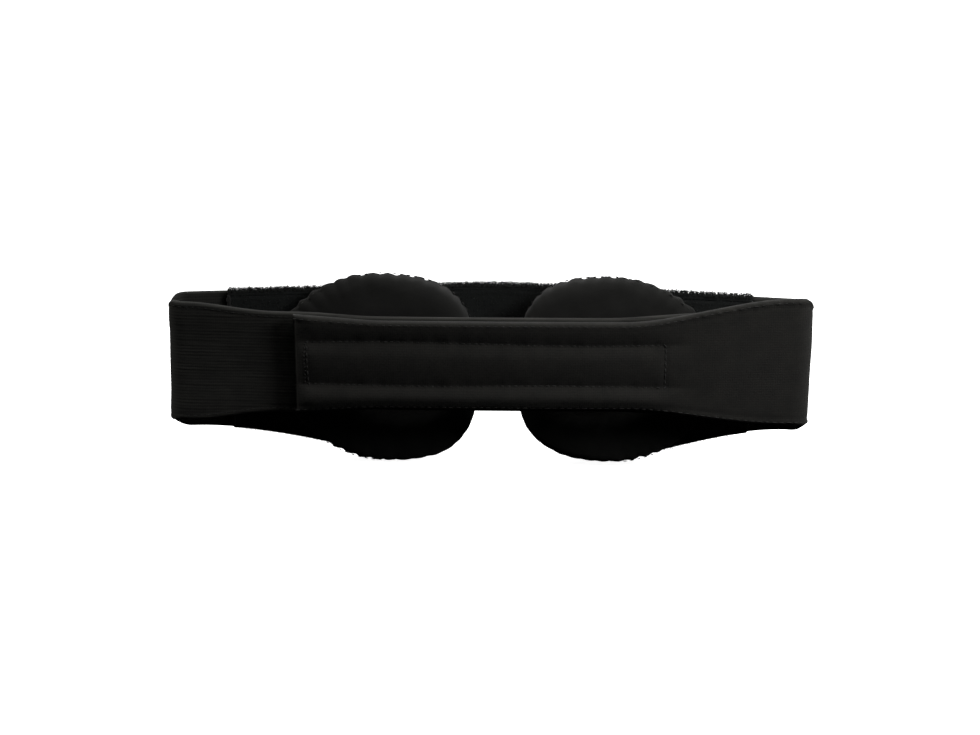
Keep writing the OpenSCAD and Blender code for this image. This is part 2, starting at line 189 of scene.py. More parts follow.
def makePaths():  # the panel, and each strap from its side seam to its end
    panel = [r for r in reversed(halfPanel(-1, 0, seamDist(-1), 60))]
    panel += [r for r in reversed(halfPanel(-1, 0, 0, 12, bend=True))][1:]
    panel += halfPanel(1, 0, 0, 12, bend=True)[1:] + halfPanel(1, 0, seamDist(1), 60)[1:]
    turn = math.atan2(-bowY, loop["foldX"] - loop["bowX"])
    right = halfPanel(1, seamDist(1), foldEnd(1), 10)
    right += foldRows(1, [loop["foldX"], 0], loop["foldR"], np.pi / 2 - slopeOf(1), turn,
                      -rightEdge["foldDrop"], rightEdge["foldTop"])
    right += bowRows(loop["bowX"] + loop["bowR"] * math.cos(turn), rightEdge["endX"], loop["bowR"],
                     rightEdges)
    excess = loop["leftBowR"] - math.hypot(-loop["foldX"] - loop["bowX"], bowY) - loop["foldR"]
    c = [-loop["foldX"], -excess / (1 + math.cos(slopeOf(-1)))]
    r = loop["leftBowR"] - math.hypot(c[0] - loop["bowX"], c[1] - bowY)
    turn = math.atan2(c[1] - bowY, c[0] - loop["bowX"]) + 2 * np.pi
    left = halfPanel(-1, seamDist(-1), foldEnd(-1), 10)
    left += foldRows(-1, c, r, np.pi / 2 + slopeOf(-1), turn, -leftEdge["foldDrop"], leftEdge["foldTop"])
    left += bowRows(loop["bowX"] + loop["leftBowR"] * math.cos(turn), leftEdge["endX"],
                    loop["leftBowR"], leftEdges)
    return dict(panel=np.array(panel), right=np.array(right), left=np.array(left))


def resample(rows, step):  # even steps along the cloth, with the arc length as a seventh column
    arc = np.concatenate([[0], np.cumsum(np.hypot(*np.diff(rows[:, :2], axis=0).T))])
    keep = np.concatenate([[True], np.diff(arc) > 1e-6])
    rows, arc = rows[keep], arc[keep]
    s = np.linspace(0, arc[-1], max(2, int(round(arc[-1] / step)) + 1))
    out = np.stack([np.interp(s, arc, rows[:, k]) for k in range(6)] + [s], 1)
    out[:, 2:4] /= np.hypot(out[:, 2], out[:, 3])[:, None]
    return out


paths = makePaths()


# Mesh, node and material helpers

def addNode(tree, kind, settings=None, links=None):  # a link may name a socket or a whole node
    node = tree.nodes.new(kind)
    for key, value in (settings or {}).items():
        if isinstance(key, int) or key in node.inputs:
            node.inputs[key].default_value = value
        else:
            setattr(node, key, value)
    for key, source in (links or {}).items():
        tree.links.new(getattr(source, "outputs", [source])[0], node.inputs[key])
    return node


def linear(hexCode):  # an sRGB hex colour as linear RGBA
    parts = [int(hexCode[i:i + 2], 16) / 255 for i in (1, 3, 5)]
    return [c / 12.92 if c <= 0.04045 else ((c + 0.055) / 1.055) ** 2.4 for c in parts] + [1.0]


def addObject(name, mesh):
    piece = bpy.data.objects.new(name, mesh)
    scene.collection.objects.link(piece)
    return piece


def shellMesh(name, points, faces, cloth=None, smooth=True):
    mesh = bpy.data.meshes.new(name)
    mesh.from_pydata((np.asarray(points) * mm).tolist(), [], faces)
    if cloth is not None:  # place on the cloth in metres, which the weaves follow
        layer = mesh.attributes.new("clothPlace", "FLOAT_VECTOR", "POINT")
        layer.data.foreach_set("vector", (np.asarray(cloth) * mm).astype(np.float32).ravel())
    shell = bmesh.new()
    shell.from_mesh(mesh)
    bmesh.ops.remove_doubles(shell, verts=shell.verts, dist=2e-6)
    bmesh.ops.dissolve_degenerate(shell, edges=shell.edges, dist=1e-7)
    bmesh.ops.recalc_face_normals(shell, faces=shell.faces)
    shell.to_mesh(mesh)
    shell.free()
    mesh.polygons.foreach_set("use_smooth", [smooth] * len(mesh.polygons))
    mesh.update()
    return mesh


def ringsMesh(name, rings, cloth, closed=False, caps=(True, True)):
    stations, count = rings.shape[:2]
    faces = []
    for i in range(stations if closed else stations - 1):
        j = (i + 1) % stations
        for k in range(count):
            m = (k + 1) % count
            faces.append((i * count + k, i * count + m, j * count + m, j * count + k))
    for end, wanted in ((0, caps[0]), (stations - 1, caps[1])):
        if wanted and not closed:  # a cap of quads between the two faces of the strip
            b = end * count
            for k in range(count // 2):
                quad = [b + k, b + k + 1, b + (count - k - 1) % count, b + (count - k) % count]
                faces.append(tuple(dict.fromkeys(quad)))
    return shellMesh(name, rings.reshape(-1, 3), faces, cloth.reshape(-1, 3))


def stripPiece(name, path, outer, inner, rowStep, low=0.0, high=0.0, step=1.2, caps=(True, True), span=None):
    # a strip of cloth: outer and inner give the height of its two faces over the loop's outer face
    rows = resample(path, step)
    if span:
        rows = rows[(rows[:, 6] >= span[0]) & (rows[:, 6] <= span[1])]
    lowEdge, highEdge = rows[:, 4] + low, rows[:, 5] - high
    count = int(round((highEdge - lowEdge).max() / rowStep)) + 1
    t = np.linspace(-1, 1, count)
    v = 0.5 + 0.5 * (0.82 * t + 0.18 * np.sin(np.pi / 2 * t) ** 3)  # closer rows along both edges
    z = lowEdge[:, None] + (highEdge - lowEdge)[:, None] * v[None, :]
    edge = np.minimum(z - lowEdge[:, None], highEdge[:, None] - z)
    x = np.repeat(rows[:, :1], count, 1)
    s = np.repeat(rows[:, 6:7], count, 1)
    place = dict(x=x, y=np.repeat(rows[:, 1:2], count, 1), z=z, s=s, edge=edge,
                 end=s[-1, 0] - s, low=lowEdge[:, None], high=highEdge[:, None])
    faces = []
    for height in (outer(place), inner(place)):
        h = np.broadcast_to(height, z.shape)
        faces.append(np.stack([rows[:, 0:1] + rows[:, 2:3] * h, rows[:, 1:2] + rows[:, 3:4] * h, z], 2))
    rings = np.concatenate([faces[0], faces[1][:, -2:0:-1]], 1)
    flat = np.stack([s, z, np.zeros_like(z)], 2)
    cloth = np.concatenate([flat, flat[:, -2:0:-1]], 1)
    return addObject(name, ringsMesh(name, rings, cloth, caps=caps))


def rounded(distance, radius):  # a quarter-round rise from an edge
    e = np.clip(distance / radius, 0, 1)
    return np.sqrt(1 - (1 - e) ** 2)


def ridge(distance, at, width):  # a bell-shaped rise of one unit
    return np.exp(-((distance - at) / width) ** 2)


def ripple(x, z, size, seed):  # smooth unevenness of handled cloth, from -1 to 1
    rng = np.random.default_rng(seed)
    total = 0
    for _ in range(7):
        a = rng.uniform(0, 2 * np.pi)
        k = 2 * np.pi / (size * rng.uniform(0.6, 1.8))
        total = total + np.sin(k * (x * np.cos(a) + z * np.sin(a)) + rng.uniform(0, 6.3))
    return total / 7 ** 0.5 / 1.5


def plainMesh(name, source):  # what the modifiers make of the piece, as a plain mesh
    bpy.context.view_layer.update()
    graph = bpy.context.evaluated_depsgraph_get()
    made = bpy.data.meshes.new_from_object(source.evaluated_get(graph), depsgraph=graph)
    made.name = name
    old = source.data
    bpy.data.objects.remove(source)
    bpy.data.meshes.remove(old)
    return addObject(name, made)


def runTree(name, source, tree, values):  # runs a Geometry Nodes tree on a piece and keeps the mesh
    modifier = source.modifiers.new(tree.name, "NODES")
    modifier.node_group = tree
    for item in tree.interface.items_tree:
        if item.item_type == "SOCKET" and item.in_out == "INPUT" and item.name in values:
            modifier[item.identifier] = values[item.name]
    return plainMesh(name, source)


def newTree(name, inputs):
    tree = bpy.data.node_groups.new(name, "GeometryNodeTree")
    tree.interface.new_socket("Geometry", in_out="INPUT", socket_type="NodeSocketGeometry")
    for label, kind, value in inputs:
        socket = tree.interface.new_socket(label, in_out="INPUT", socket_type="NodeSocket" + kind)
        if value is not None:
            socket.default_value = value
    tree.interface.new_socket("Geometry", in_out="OUTPUT", socket_type="NodeSocketGeometry")
    given = addNode(tree, "NodeGroupInput")
    return tree, given


def closeTree(tree, geometry, given):  # every tree ends in real geometry with its material
    real = addNode(tree, "GeometryNodeRealizeInstances", links={0: geometry})
    dressed = addNode(tree, "GeometryNodeSetMaterial", links={0: real, "Material": given.outputs["Material"]})
    smooth = addNode(tree, "GeometryNodeSetShadeSmooth", links={0: dressed})
    addNode(tree, "NodeGroupOutput", links={0: smooth})
    return tree


def polyline(name, points, closed=False):  # a run of edges for the thread and cord trees
    mesh = bpy.data.meshes.new(name)
    count = len(points)
    edges = [(i, i + 1) for i in range(count - 1)] + ([(count - 1, 0)] if closed else [])
    mesh.from_pydata((np.asarray(points) * mm).tolist(), edges, [])
    return addObject(name, mesh)


def pointCloud(name, points, normals):
    mesh = bpy.data.meshes.new(name)
    mesh.from_pydata((np.asarray(points) * mm).tolist(), [], [])
    layer = mesh.attributes.new("facing", "FLOAT_VECTOR", "POINT")
    layer.data.foreach_set("vector", np.asarray(normals, np.float32).ravel())
    return addObject(name, mesh)


def dress(piece, material):
    piece.data.materials.clear()
    piece.data.materials.append(material)


def fit(piece, material, slotName, body, *nodes):  # a dressed piece that stands for CAD nodes of one body
    dress(piece, material)
    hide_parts(*nodes)
    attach(piece, body)


def grow(name, source, tree, values, slotName, body, *nodes):  # a piece made by a tree, on one body
    piece = runTree(name, source, tree, values)
    if nodes:
        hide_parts(*nodes)
    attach(piece, body)


# Materials

def newMaterial(name, settings):
    material = bpy.data.materials.new(name)
    material.use_nodes = True
    tree = material.node_tree
    shader = tree.nodes["Principled BSDF"]
    for key, value in settings.items():
        shader.inputs[key].default_value = value
    return material, tree, shader


bandScale = 0.314  # a band pattern of this scale has its stripes one unit apart


def paint(tree, shader, tone, colours, low=0.3, high=0.7, height=None, strength=0.0, depth=0.0):
    # the tone runs between two colours, and the height pattern stands up by depth in millimetres
    ramp = addNode(tree, "ShaderNodeValToRGB", links={0: tone})
    for stop, at, colour in zip(ramp.color_ramp.elements, (low, high), colours):
        stop.position = at
        stop.color = linear(colour)
    tree.links.new(ramp.outputs[0], shader.inputs["Base Color"])
    if height:
        bump = addNode(tree, "ShaderNodeBump", {"Strength": strength, "Distance": depth * mm},
                       {"Height": height})
        tree.links.new(bump.outputs[0], shader.inputs["Normal"])


def clothMaterial(name, look):
    # knit and brushed cloth: rows and columns of stitches in the cloth's own plane, fibre noise over them
    material, tree, shader = newMaterial(name, {
        "Roughness": look["roughness"], "Specular IOR Level": 0.25, "IOR": 1.5, "Sheen Weight": look["sheen"],
        "Sheen Roughness": 0.45, "Sheen Tint": linear(look.get("sheenTint", "#ffffff"))})
    if look.get("onCloth", True):
        place = addNode(tree, "ShaderNodeAttribute", {"attribute_name": "clothPlace"}).outputs["Vector"]
    else:
        place = addNode(tree, "ShaderNodeTexCoord").outputs["Object"]
    warp = addNode(tree, "ShaderNodeTexNoise", {"Scale": 1 / (look["warpMm"] * mm), "Detail": 2.0},
                   {"Vector": place})
    shift = addNode(tree, "ShaderNodeVectorMath", {"operation": "SCALE", "Scale": look["warpBy"] * mm},
                    {0: warp.outputs["Color"]})
    bent = addNode(tree, "ShaderNodeVectorMath", {"operation": "ADD"}, {0: place, 1: shift})
    threads = []
    for way, width, ragged in (("Y", look["rowMm"], 0.6), ("X", look["columnMm"], 1.2)):
        threads.append(addNode(tree, "ShaderNodeTexWave", {
            "wave_type": "BANDS", "bands_direction": way, "Scale": bandScale / (width * mm),
            "Distortion": ragged, "Detail": 1.0, "Detail Scale": 2.0}, {"Vector": bent}).outputs["Fac"])
    knit = addNode(tree, "ShaderNodeMix", {"data_type": "FLOAT", "Factor": look["columnShare"]},
                   {2: threads[0], 3: threads[1]})
    fibres = addNode(tree, "ShaderNodeTexNoise", {
        "Scale": 1 / (look["fibreMm"] * mm), "Detail": 4.0, "Roughness": 0.65}, {"Vector": place})
    height = addNode(tree, "ShaderNodeMix", {"data_type": "FLOAT", "Factor": look["fibreShare"]},
                     {2: knit, 3: fibres.outputs["Fac"]})
    patches = addNode(tree, "ShaderNodeTexNoise", {"Scale": 1 / (look["patchMm"] * mm), "Detail": 3.0},
                      {"Vector": place})
    tone = addNode(tree, "ShaderNodeMix", {"data_type": "FLOAT", "Factor": 0.45},
                   {2: height, 3: patches.outputs["Fac"]})
    paint(tree, shader, tone, (look["dark"], look["light"]), 0.25, 0.75, height, look["bump"], look["bumpMm"])
    return material


# Brushed polyester knit, napped on one side: matt charcoal black with a short grey nap
strapKnit = clothMaterial("brushedPolyesterKnit", dict(
    dark="#0a0a09", light="#1e1d1a", roughness=0.94, sheen=0.08, warpMm=3.0, warpBy=0.5, rowMm=0.9,
    columnMm=0.8, columnShare=0.45, fibreMm=0.4, fibreShare=0.7, patchMm=7.0, bump=0.9, bumpMm=0.2))
# Loop-faced warp knit, the face that hooks grip: flat black with fine ribs along the strap
loopKnit = clothMaterial("ribbedLoopKnit", dict(
    dark="#0d0d0c", light="#272724", roughness=0.95, sheen=0.05, warpMm=5.0, warpBy=0.35, rowMm=1.1,
    columnMm=0.8, columnShare=0.3, fibreMm=0.4, fibreShare=0.5, patchMm=9.0, bump=0.5, bumpMm=0.18))
# Smooth polyester interlock, dyed black: the plain cloth of the outside and the strap's back
coverKnit = clothMaterial("polyesterInterlock", dict(
    dark="#141414", light="#252524", roughness=0.88, sheen=0.15, warpMm=4.0, warpBy=0.2, rowMm=0.7,
    columnMm=0.5, columnShare=0.5, fibreMm=0.25, fibreShare=0.4, patchMm=10.0, bump=0.5, bumpMm=0.08))
# Brushed nylon loop pile: soft, deep black with a slightly cool cast
loopPile = clothMaterial("brushedNylonLoopPile", dict(
    dark="#060707", light="#121514", roughness=0.97, sheen=0.05, sheenTint="#dfe6e2", warpMm=2.0, warpBy=0.5,
    rowMm=1.3, columnMm=1.1, columnShare=0.5, fibreMm=0.4, fibreShare=0.75, patchMm=7.0,
    bump=0.8, bumpMm=0.2))
# Peach-skin polyester microfibre: very short even nap, warm black, a faint sheen where it turns away
microfibre = clothMaterial("peachSkinMicrofibre", dict(
    dark="#060605", light="#10100e", roughness=0.93, sheen=0.04, onCloth=False, warpMm=3.0, warpBy=0.3,
    rowMm=0.5, columnMm=0.5, columnShare=0.5, fibreMm=0.3, fibreShare=0.8, patchMm=8.0,
    bump=0.4, bumpMm=0.06))
# Folded knit binding: the interlock again, its rows closer where it is stretched round the edge
bindingKnit = clothMaterial("foldedKnitBinding", dict(
    dark="#0b0b0b", light="#1e1e1d", roughness=0.93, sheen=0.05, warpMm=3.0, warpBy=0.2, rowMm=0.6,
    columnMm=0.45, columnShare=0.6, fibreMm=0.25, fibreShare=0.45, patchMm=6.0, bump=0.6, bumpMm=0.1))
# Woven elastic: tight ribs of covered rubber across the strap
wovenElastic = clothMaterial("wovenElastic", dict(
    dark="#1a1a1a", light="#303030", roughness=0.8, sheen=0.1, onCloth=False, warpMm=5.0, warpBy=0.1,
    rowMm=1.2, columnMm=0.8, columnShare=0.6, fibreMm=0.3, fibreShare=0.2, patchMm=15.0,
    bump=0.7, bumpMm=0.15))


def threadMaterial():
    # Spun polyester sewing thread: twisted plies, as dark as the cloth and a little less matt
    material, tree, shader = newMaterial("spunPolyesterThread", {
        "Roughness": 0.72, "Specular IOR Level": 0.25, "Sheen Weight": 0.05})
    place = addNode(tree, "ShaderNodeTexCoord").outputs["Object"]
    plies = addNode(tree, "ShaderNodeTexWave", {
        "wave_type": "BANDS", "bands_direction": "DIAGONAL", "Scale": bandScale / (0.35 * mm),
        "Distortion": 0.5}, {"Vector": place}).outputs["Fac"]
    fuzz = addNode(tree, "ShaderNodeTexNoise", {"Scale": 1 / (0.5 * mm), "Detail": 3.0}, {"Vector": place})
    tone = addNode(tree, "ShaderNodeMix", {"data_type": "FLOAT", "Factor": 0.5},
                   {2: plies, 3: fuzz.outputs["Fac"]})
    paint(tree, shader, tone, ("#0d0d0c", "#20201e"), height=plies, strength=0.6, depth=0.05)
    return material


def nylonMaterial():
    # Extruded and slit nylon hook tape: smooth black plastic that glints on each hook
    material, tree, shader = newMaterial("slitNylonHook", {
        "Roughness": 0.38, "IOR": 1.53, "Specular IOR Level": 0.5})
    place = addNode(tree, "ShaderNodeTexCoord").outputs["Object"]
    cloud = addNode(tree, "ShaderNodeTexNoise", {"Scale": 1 / (1.5 * mm), "Detail": 4.0},
                    {"Vector": place}).outputs["Fac"]
    paint(tree, shader, cloud, ("#0b0b0c", "#18181a"), height=cloud, strength=0.3, depth=0.05)
    return material


def cellMaterial(name, colours, cellMm, roughness):
    # foams: open cells as pits, from a Voronoi pattern at the size of the cells
    material, tree, shader = newMaterial(name, {"Roughness": roughness, "Specular IOR Level": 0.3})
    place = addNode(tree, "ShaderNodeTexCoord").outputs["Object"]
    cells = addNode(tree, "ShaderNodeTexVoronoi", {"Scale": 1 / (cellMm * mm), "Randomness": 1.0},
                    {"Vector": place}).outputs["Distance"]
    grain = addNode(tree, "ShaderNodeTexNoise", {"Scale": 2 / (cellMm * mm), "Detail": 3.0},
                    {"Vector": place})
    tone = addNode(tree, "ShaderNodeMix", {"data_type": "FLOAT", "Factor": 0.35},
                   {2: cells, 3: grain.outputs["Fac"]})
    paint(tree, shader, tone, colours, 0.1, 0.6, cells, 0.7, 0.3 * cellMm)
    return material


thread = threadMaterial()
nylonHook = nylonMaterial()
# Open-cell polyurethane foam, cut sheet: grey, pitted, quite matt
foam = cellMaterial("openCellPolyurethane", ("#2f2f31", "#4a4a4d"), 0.9, 0.95)
# Closed-cell EVA sheet, pressed: dark grey with a fine skin
evaBoard = cellMaterial("pressedEvaSheet", ("#1c1c1d", "#2c2c2d"), 0.5, 0.7)
print("materials made")


# Camera, floor and lights

view = dict(azimuth=3.0, elevation=16.0, distance=0.62, target=(0.0009, 0.0, -0.00285), lens=63.5,
            sensor=36.0)
paper = dict(below=0.0006, reach=60.0, grain=300.0)
room = dict(seen=0.96, light=0.01)  # the camera sees a pale room, and hardly any of it lights the mask
boxes = {  # soft boxes near the mask: place, aim and size in metres, power in watts
    "overheadBox": dict(place=(0.16, -0.10, 0.46), aim=(0.02, 0, 0), size=(0.34, 0.12), power=1.2),
    "rightBox": dict(place=(0.27, -0.15, 0.2), aim=(0.1, 0, 0), size=(0.12, 0.12), power=1.15)}
suns = {  # far lights: where they stand and how wide they look, in degrees
    "leftBox": dict(azimuth=-92, elevation=40, strength=1.65, spread=18, colour="#fffefa"),
    "frontBox": dict(azimuth=165, elevation=38, strength=1.6, spread=40, colour="#ffffff")}


def makeView():
    camera = bpy.data.objects.new("camera", bpy.data.cameras.new("camera"))
    scene.collection.objects.link(camera)
    a, e = math.radians(view["azimuth"]), math.radians(view["elevation"])
    back = np.array([math.sin(a) * math.cos(e), -math.cos(a) * math.cos(e), math.sin(e)])
    camera.location = np.array(view["target"]) + view["distance"] * back
    camera.rotation_euler = (math.pi / 2 - e, 0, a)
    camera.data.lens = view["lens"]
    camera.data.sensor_width = view["sensor"]
    camera.data.clip_start = 0.01
    camera.data.clip_end = 100
    scene.camera = camera


def makeFloor():
    mesh = bpy.data.meshes.new("floor")
    reach, height = paper["reach"], cadLow[2] - paper["below"]
    corners = ((-reach, -reach), (reach, -reach), (reach, reach), (-reach, reach))
    mesh.from_pydata([(x, y, height) for x, y in corners], [], [(0, 1, 2, 3)])
    floor = addObject("floor", mesh)
    # Seamless studio paper: matt white, lit so evenly that it keeps hardly any shadow
    material, tree, shader = newMaterial("studioPaper", {
        "Roughness": 0.9, "Specular IOR Level": 0.1, "Emission Color": linear("#ffffff"),
        "Emission Strength": 0.97})
    grain = addNode(tree, "ShaderNodeTexNoise", {"Scale": paper["grain"], "Detail": 3.0},
                    {"Vector": addNode(tree, "ShaderNodeTexCoord").outputs["Object"]})
    paint(tree, shader, grain.outputs["Fac"], ("#fdfdfd", "#ffffff"))
    mesh.materials.append(material)
    floor.visible_diffuse = False  # the paper lies far below a worn mask, so it doesn't light its underside
    floor.visible_glossy = False


def addSun(name, azimuth, elevation, strength, spread, colour):
    data = bpy.data.lights.new(name, "SUN")
    data.energy = strength
    data.angle = math.radians(spread)
    data.color = linear(colour)[:3]
    light = bpy.data.objects.new(name, data)
    light.rotation_euler = (math.radians(90 - elevation), 0, math.radians(azimuth))
    scene.collection.objects.link(light)


def addBox(name, place, aim, size, power):
    data = bpy.data.lights.new(name, "AREA")
    data.shape = "RECTANGLE"
    data.size, data.size_y = size
    data.energy = power
    light = bpy.data.objects.new(name, data)
    light.location = place
    light.rotation_euler = (Vector(aim) - Vector(place)).to_track_quat("-Z", "Y").to_euler()
    scene.collection.objects.link(light)


def makeLights():
    for name, look in boxes.items():
        addBox(name, **look)
    for name, look in suns.items():
        addSun(name, **look)
    world = bpy.data.worlds.new("studioAir")
    world.use_nodes = True
    air = world.node_tree.nodes["Background"]
    air.inputs["Color"].default_value = linear("#ffffff")
    tree = world.node_tree
    ray = addNode(tree, "ShaderNodeLightPath").outputs["Is Camera Ray"]
    seen = addNode(tree, "ShaderNodeMath", {"operation": "MULTIPLY_ADD", 1: room["seen"], 2: room["light"]},
                   {0: ray})
    tree.links.new(seen.outputs[0], air.inputs["Strength"])
    scene.world = world
    scene.view_settings.view_transform = "Standard"


makeView()
makeFloor()
makeLights()
print("camera, floor and lights made")


# Geometry Nodes for what repeats

def plant(tree, given, points, grain, turn, size):  # one grain at each point, and the tree closed
    placed = addNode(tree, "GeometryNodeInstanceOnPoints", links={
        "Points": points, "Instance": grain, "Rotation": turn, "Scale": size})
    return closeTree(tree, placed, given)


def stitchTree():  # one sunk, spindle-shaped stitch for each pitch along a seam line
    tree, given = newTree("stitches", [("Pitch", "Float", 0.0025), ("Length", "Float", 0.0018),
                                       ("Thickness", "Float", 0.0003), ("Material", "Material", None)])
    wanted = given.outputs
    line = addNode(tree, "GeometryNodeMeshToCurve", links={0: given})
    even = addNode(tree, "GeometryNodeResampleCurve", {"mode": "LENGTH"},
                   {0: line, "Length": wanted["Pitch"]})
    along = addNode(tree, "GeometryNodeInputTangent")
    turn = addNode(tree, "FunctionNodeAlignRotationToVector", {"axis": "Z"}, {"Vector": along})
    spindle = addNode(tree, "GeometryNodeMeshUVSphere", {"Segments": 6, "Rings": 5, "Radius": 1.0})
    half = addNode(tree, "ShaderNodeMath", {"operation": "MULTIPLY", 1: 0.5}, {0: wanted["Length"]})
    size = addNode(tree, "ShaderNodeCombineXYZ", links={
        0: wanted["Thickness"], 1: wanted["Thickness"], 2: half})
    vary = addNode(tree, "FunctionNodeRandomValue", {
        "data_type": "FLOAT_VECTOR", 0: (0.85, 0.85, 0.8), 1: (1.15, 1.15, 1.1), "Seed": 4})
    scaled = addNode(tree, "ShaderNodeVectorMath", {"operation": "MULTIPLY"}, {0: size, 1: vary})
    return plant(tree, given, even, spindle, turn, scaled)


def sectionOf(tree, wanted, sides):  # the round section of a fibre that is one unit tall
    ring = addNode(tree, "GeometryNodeCurvePrimitiveCircle", {"Resolution": sides})
    thick = addNode(tree, "ShaderNodeMath", {"operation": "DIVIDE"},
                    {0: wanted["Thickness"], 1: wanted["Height"]})
    scale = addNode(tree, "ShaderNodeCombineXYZ", links={0: thick, 1: thick, 2: thick})
    return addNode(tree, "GeometryNodeTransform", links={0: ring, "Scale": scale})


def tilted(tree, turn, tilt):  # a direction, tipped by a random tilt of its own
    tip = addNode(tree, "FunctionNodeEulerToRotation", links={0: tilt})
    return addNode(tree, "FunctionNodeRotateRotation", {"rotation_space": "LOCAL"}, {0: turn, 1: tip})


def hookTree():  # a small bent hook standing at each point, along its facing
    tree, given = newTree("hooks", [("Height", "Float", 0.0007), ("Thickness", "Float", 0.00011),
                                    ("Seed", "Int", 3), ("Material", "Material", None)])
    wanted = given.outputs
    bend = addNode(tree, "GeometryNodeCurvePrimitiveBezierSegment", {
        "Resolution": 6, "Start": (0, 0, 0), "Start Handle": (0, 0, 1.25), "End Handle": (0.75, 0, 1.25),
        "End": (0.62, 0, 0.45)})
    hook = addNode(tree, "GeometryNodeCurveToMesh", {"Fill Caps": True},
                   {0: bend, 1: sectionOf(tree, wanted, 4)})
    facing = addNode(tree, "GeometryNodeInputNamedAttribute", {"data_type": "FLOAT_VECTOR", "Name": "facing"})
    turn = addNode(tree, "FunctionNodeAlignRotationToVector", {"axis": "Z"}, {"Vector": facing})
    spin = addNode(tree, "FunctionNodeRandomValue", {
        "data_type": "FLOAT_VECTOR", 0: (-0.1, -0.1, -0.35), 1: (0.1, 0.1, 0.35)}, {"Seed": wanted["Seed"]})
    return plant(tree, given, given, hook, tilted(tree, turn, spin), wanted["Height"])


def pileTree():  # short leaning fibres over a cloth face
    tree, given = newTree("pile", [("Density", "Float", 1.0e6), ("Height", "Float", 0.0006),
                                   ("Thickness", "Float", 0.00004), ("Lean", "Float", 0.6),
                                   ("Seed", "Int", 7), ("Material", "Material", None)])
    wanted = given.outputs
    points = addNode(tree, "GeometryNodeDistributePointsOnFaces", links={
        0: given, "Density": wanted["Density"], "Seed": wanted["Seed"]})
    bend = addNode(tree, "GeometryNodeCurvePrimitiveBezierSegment", {
        "Resolution": 3, "Start": (0, 0, -0.15), "Start Handle": (0, 0, 0.4), "End Handle": (0.2, 0, 0.9),
        "End": (0.55, 0, 0.95)})
    taper = addNode(tree, "GeometryNodeSplineParameter")
    thin = addNode(tree, "ShaderNodeMapRange", {3: 1.0, 4: 0.35}, {0: taper.outputs["Factor"]})
    girth = addNode(tree, "GeometryNodeSetCurveRadius", links={0: bend, "Radius": thin})
    fibre = addNode(tree, "GeometryNodeCurveToMesh", {"Fill Caps": True},
                    {0: girth, 1: sectionOf(tree, wanted, 3)})
    lean = addNode(tree, "ShaderNodeMath", {"operation": "MULTIPLY", 1: -1.0}, {0: wanted["Lean"]})
    low = addNode(tree, "ShaderNodeCombineXYZ", {2: -3.14}, {0: lean, 1: lean})
    high = addNode(tree, "ShaderNodeCombineXYZ", {2: 3.14}, {0: wanted["Lean"], 1: wanted["Lean"]})
    tilt = addNode(tree, "FunctionNodeRandomValue", {"data_type": "FLOAT_VECTOR"},
                   {0: low, 1: high, "Seed": wanted["Seed"]})
    size = addNode(tree, "FunctionNodeRandomValue", {"data_type": "FLOAT", 2: 0.5, 3: 1.3},
                   {"Seed": wanted["Seed"]})
    tall = addNode(tree, "ShaderNodeMath", {"operation": "MULTIPLY"},
                   {0: size.outputs[1], 1: wanted["Height"]})
    return plant(tree, given, points, fibre, tilted(tree, points.outputs["Rotation"], tilt), tall)


def rollTree():  # a gathered roll of cloth along a closed line, fuller between the stitches that pull it in
    tree, given = newTree("gatheredRoll", [("Radius", "Float", 0.0013), ("Gathers", "Int", 44),
                                           ("Depth", "Float", 0.18), ("Material", "Material", None)])
    wanted = given.outputs
    line = addNode(tree, "GeometryNodeMeshToCurve", links={0: given})
    even = addNode(tree, "GeometryNodeResampleCurve", {"Count": 400}, {0: line})
    place = addNode(tree, "GeometryNodeSplineParameter")
    phase = addNode(tree, "ShaderNodeMath", {"operation": "MULTIPLY"},
                    {0: place.outputs["Factor"], 1: wanted["Gathers"]})
    turns = addNode(tree, "ShaderNodeMath", {"operation": "MULTIPLY", 1: math.pi}, {0: phase})
    wave = addNode(tree, "ShaderNodeMath", {"operation": "SINE"}, {0: turns})
    bump = addNode(tree, "ShaderNodeMath", {"operation": "ABSOLUTE"}, {0: wave})
    deep = addNode(tree, "ShaderNodeMath", {"operation": "MULTIPLY"}, {0: bump, 1: wanted["Depth"]})
    full = addNode(tree, "ShaderNodeMath", {"operation": "ADD", 1: 0.88}, {0: deep})
    girth = addNode(tree, "GeometryNodeSetCurveRadius", links={0: even, "Radius": full})
    ring = addNode(tree, "GeometryNodeCurvePrimitiveCircle", {"Resolution": 10}, {"Radius": wanted["Radius"]})
    roll = addNode(tree, "GeometryNodeCurveToMesh", links={0: girth, 1: ring})
    return closeTree(tree, roll, given)


stitches, hooks, pile, gatheredRoll = stitchTree(), hookTree(), pileTree(), rollTree()


def sewLine(name, points, body, pitch=2.5, length=1.9, thick=0.28, closed=False):
    values = {"Pitch": pitch * mm, "Length": length * mm, "Thickness": thick * mm, "Material": thread}
    piece = runTree(name, polyline(name, points, closed), stitches, values)
    if body == "across":
        blendStrap(piece)
    else:
        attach(piece, body)
    return piece


# Right strap: one quilted piece from the side seam to the free end

rightStrap = dict(
    step=1.0, row=0.8, edgeR=1.0, deep=1.1, high=1.2, seamHalf=7.7, seamZ=1.2, seamSlack=0.5, wrinkle=0.2,
    hemLen=2.4, trim=1.8, fromX=-63.0, toX=63.0, rollUnder=2.0, twistMm=4.2, pucker=0.14, puckerWide=2.5,
    crest=dict(upper=0.72, middle=0.66, lower=0.66), fullness=dict(upper=0.95, middle=0.85, lower=1.0),
    pastTop=3.0, pastLow=4.0, endSag=0.8)


def blendStrap(piece):  # bakes the piece's place into its mesh, attached to no body
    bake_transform(piece)


def seamTop(x):
    return rightStrap["seamZ"] + rightStrap["seamHalf"] + rightStrap["seamSlack"] * np.sin(0.045 * (x + 70))


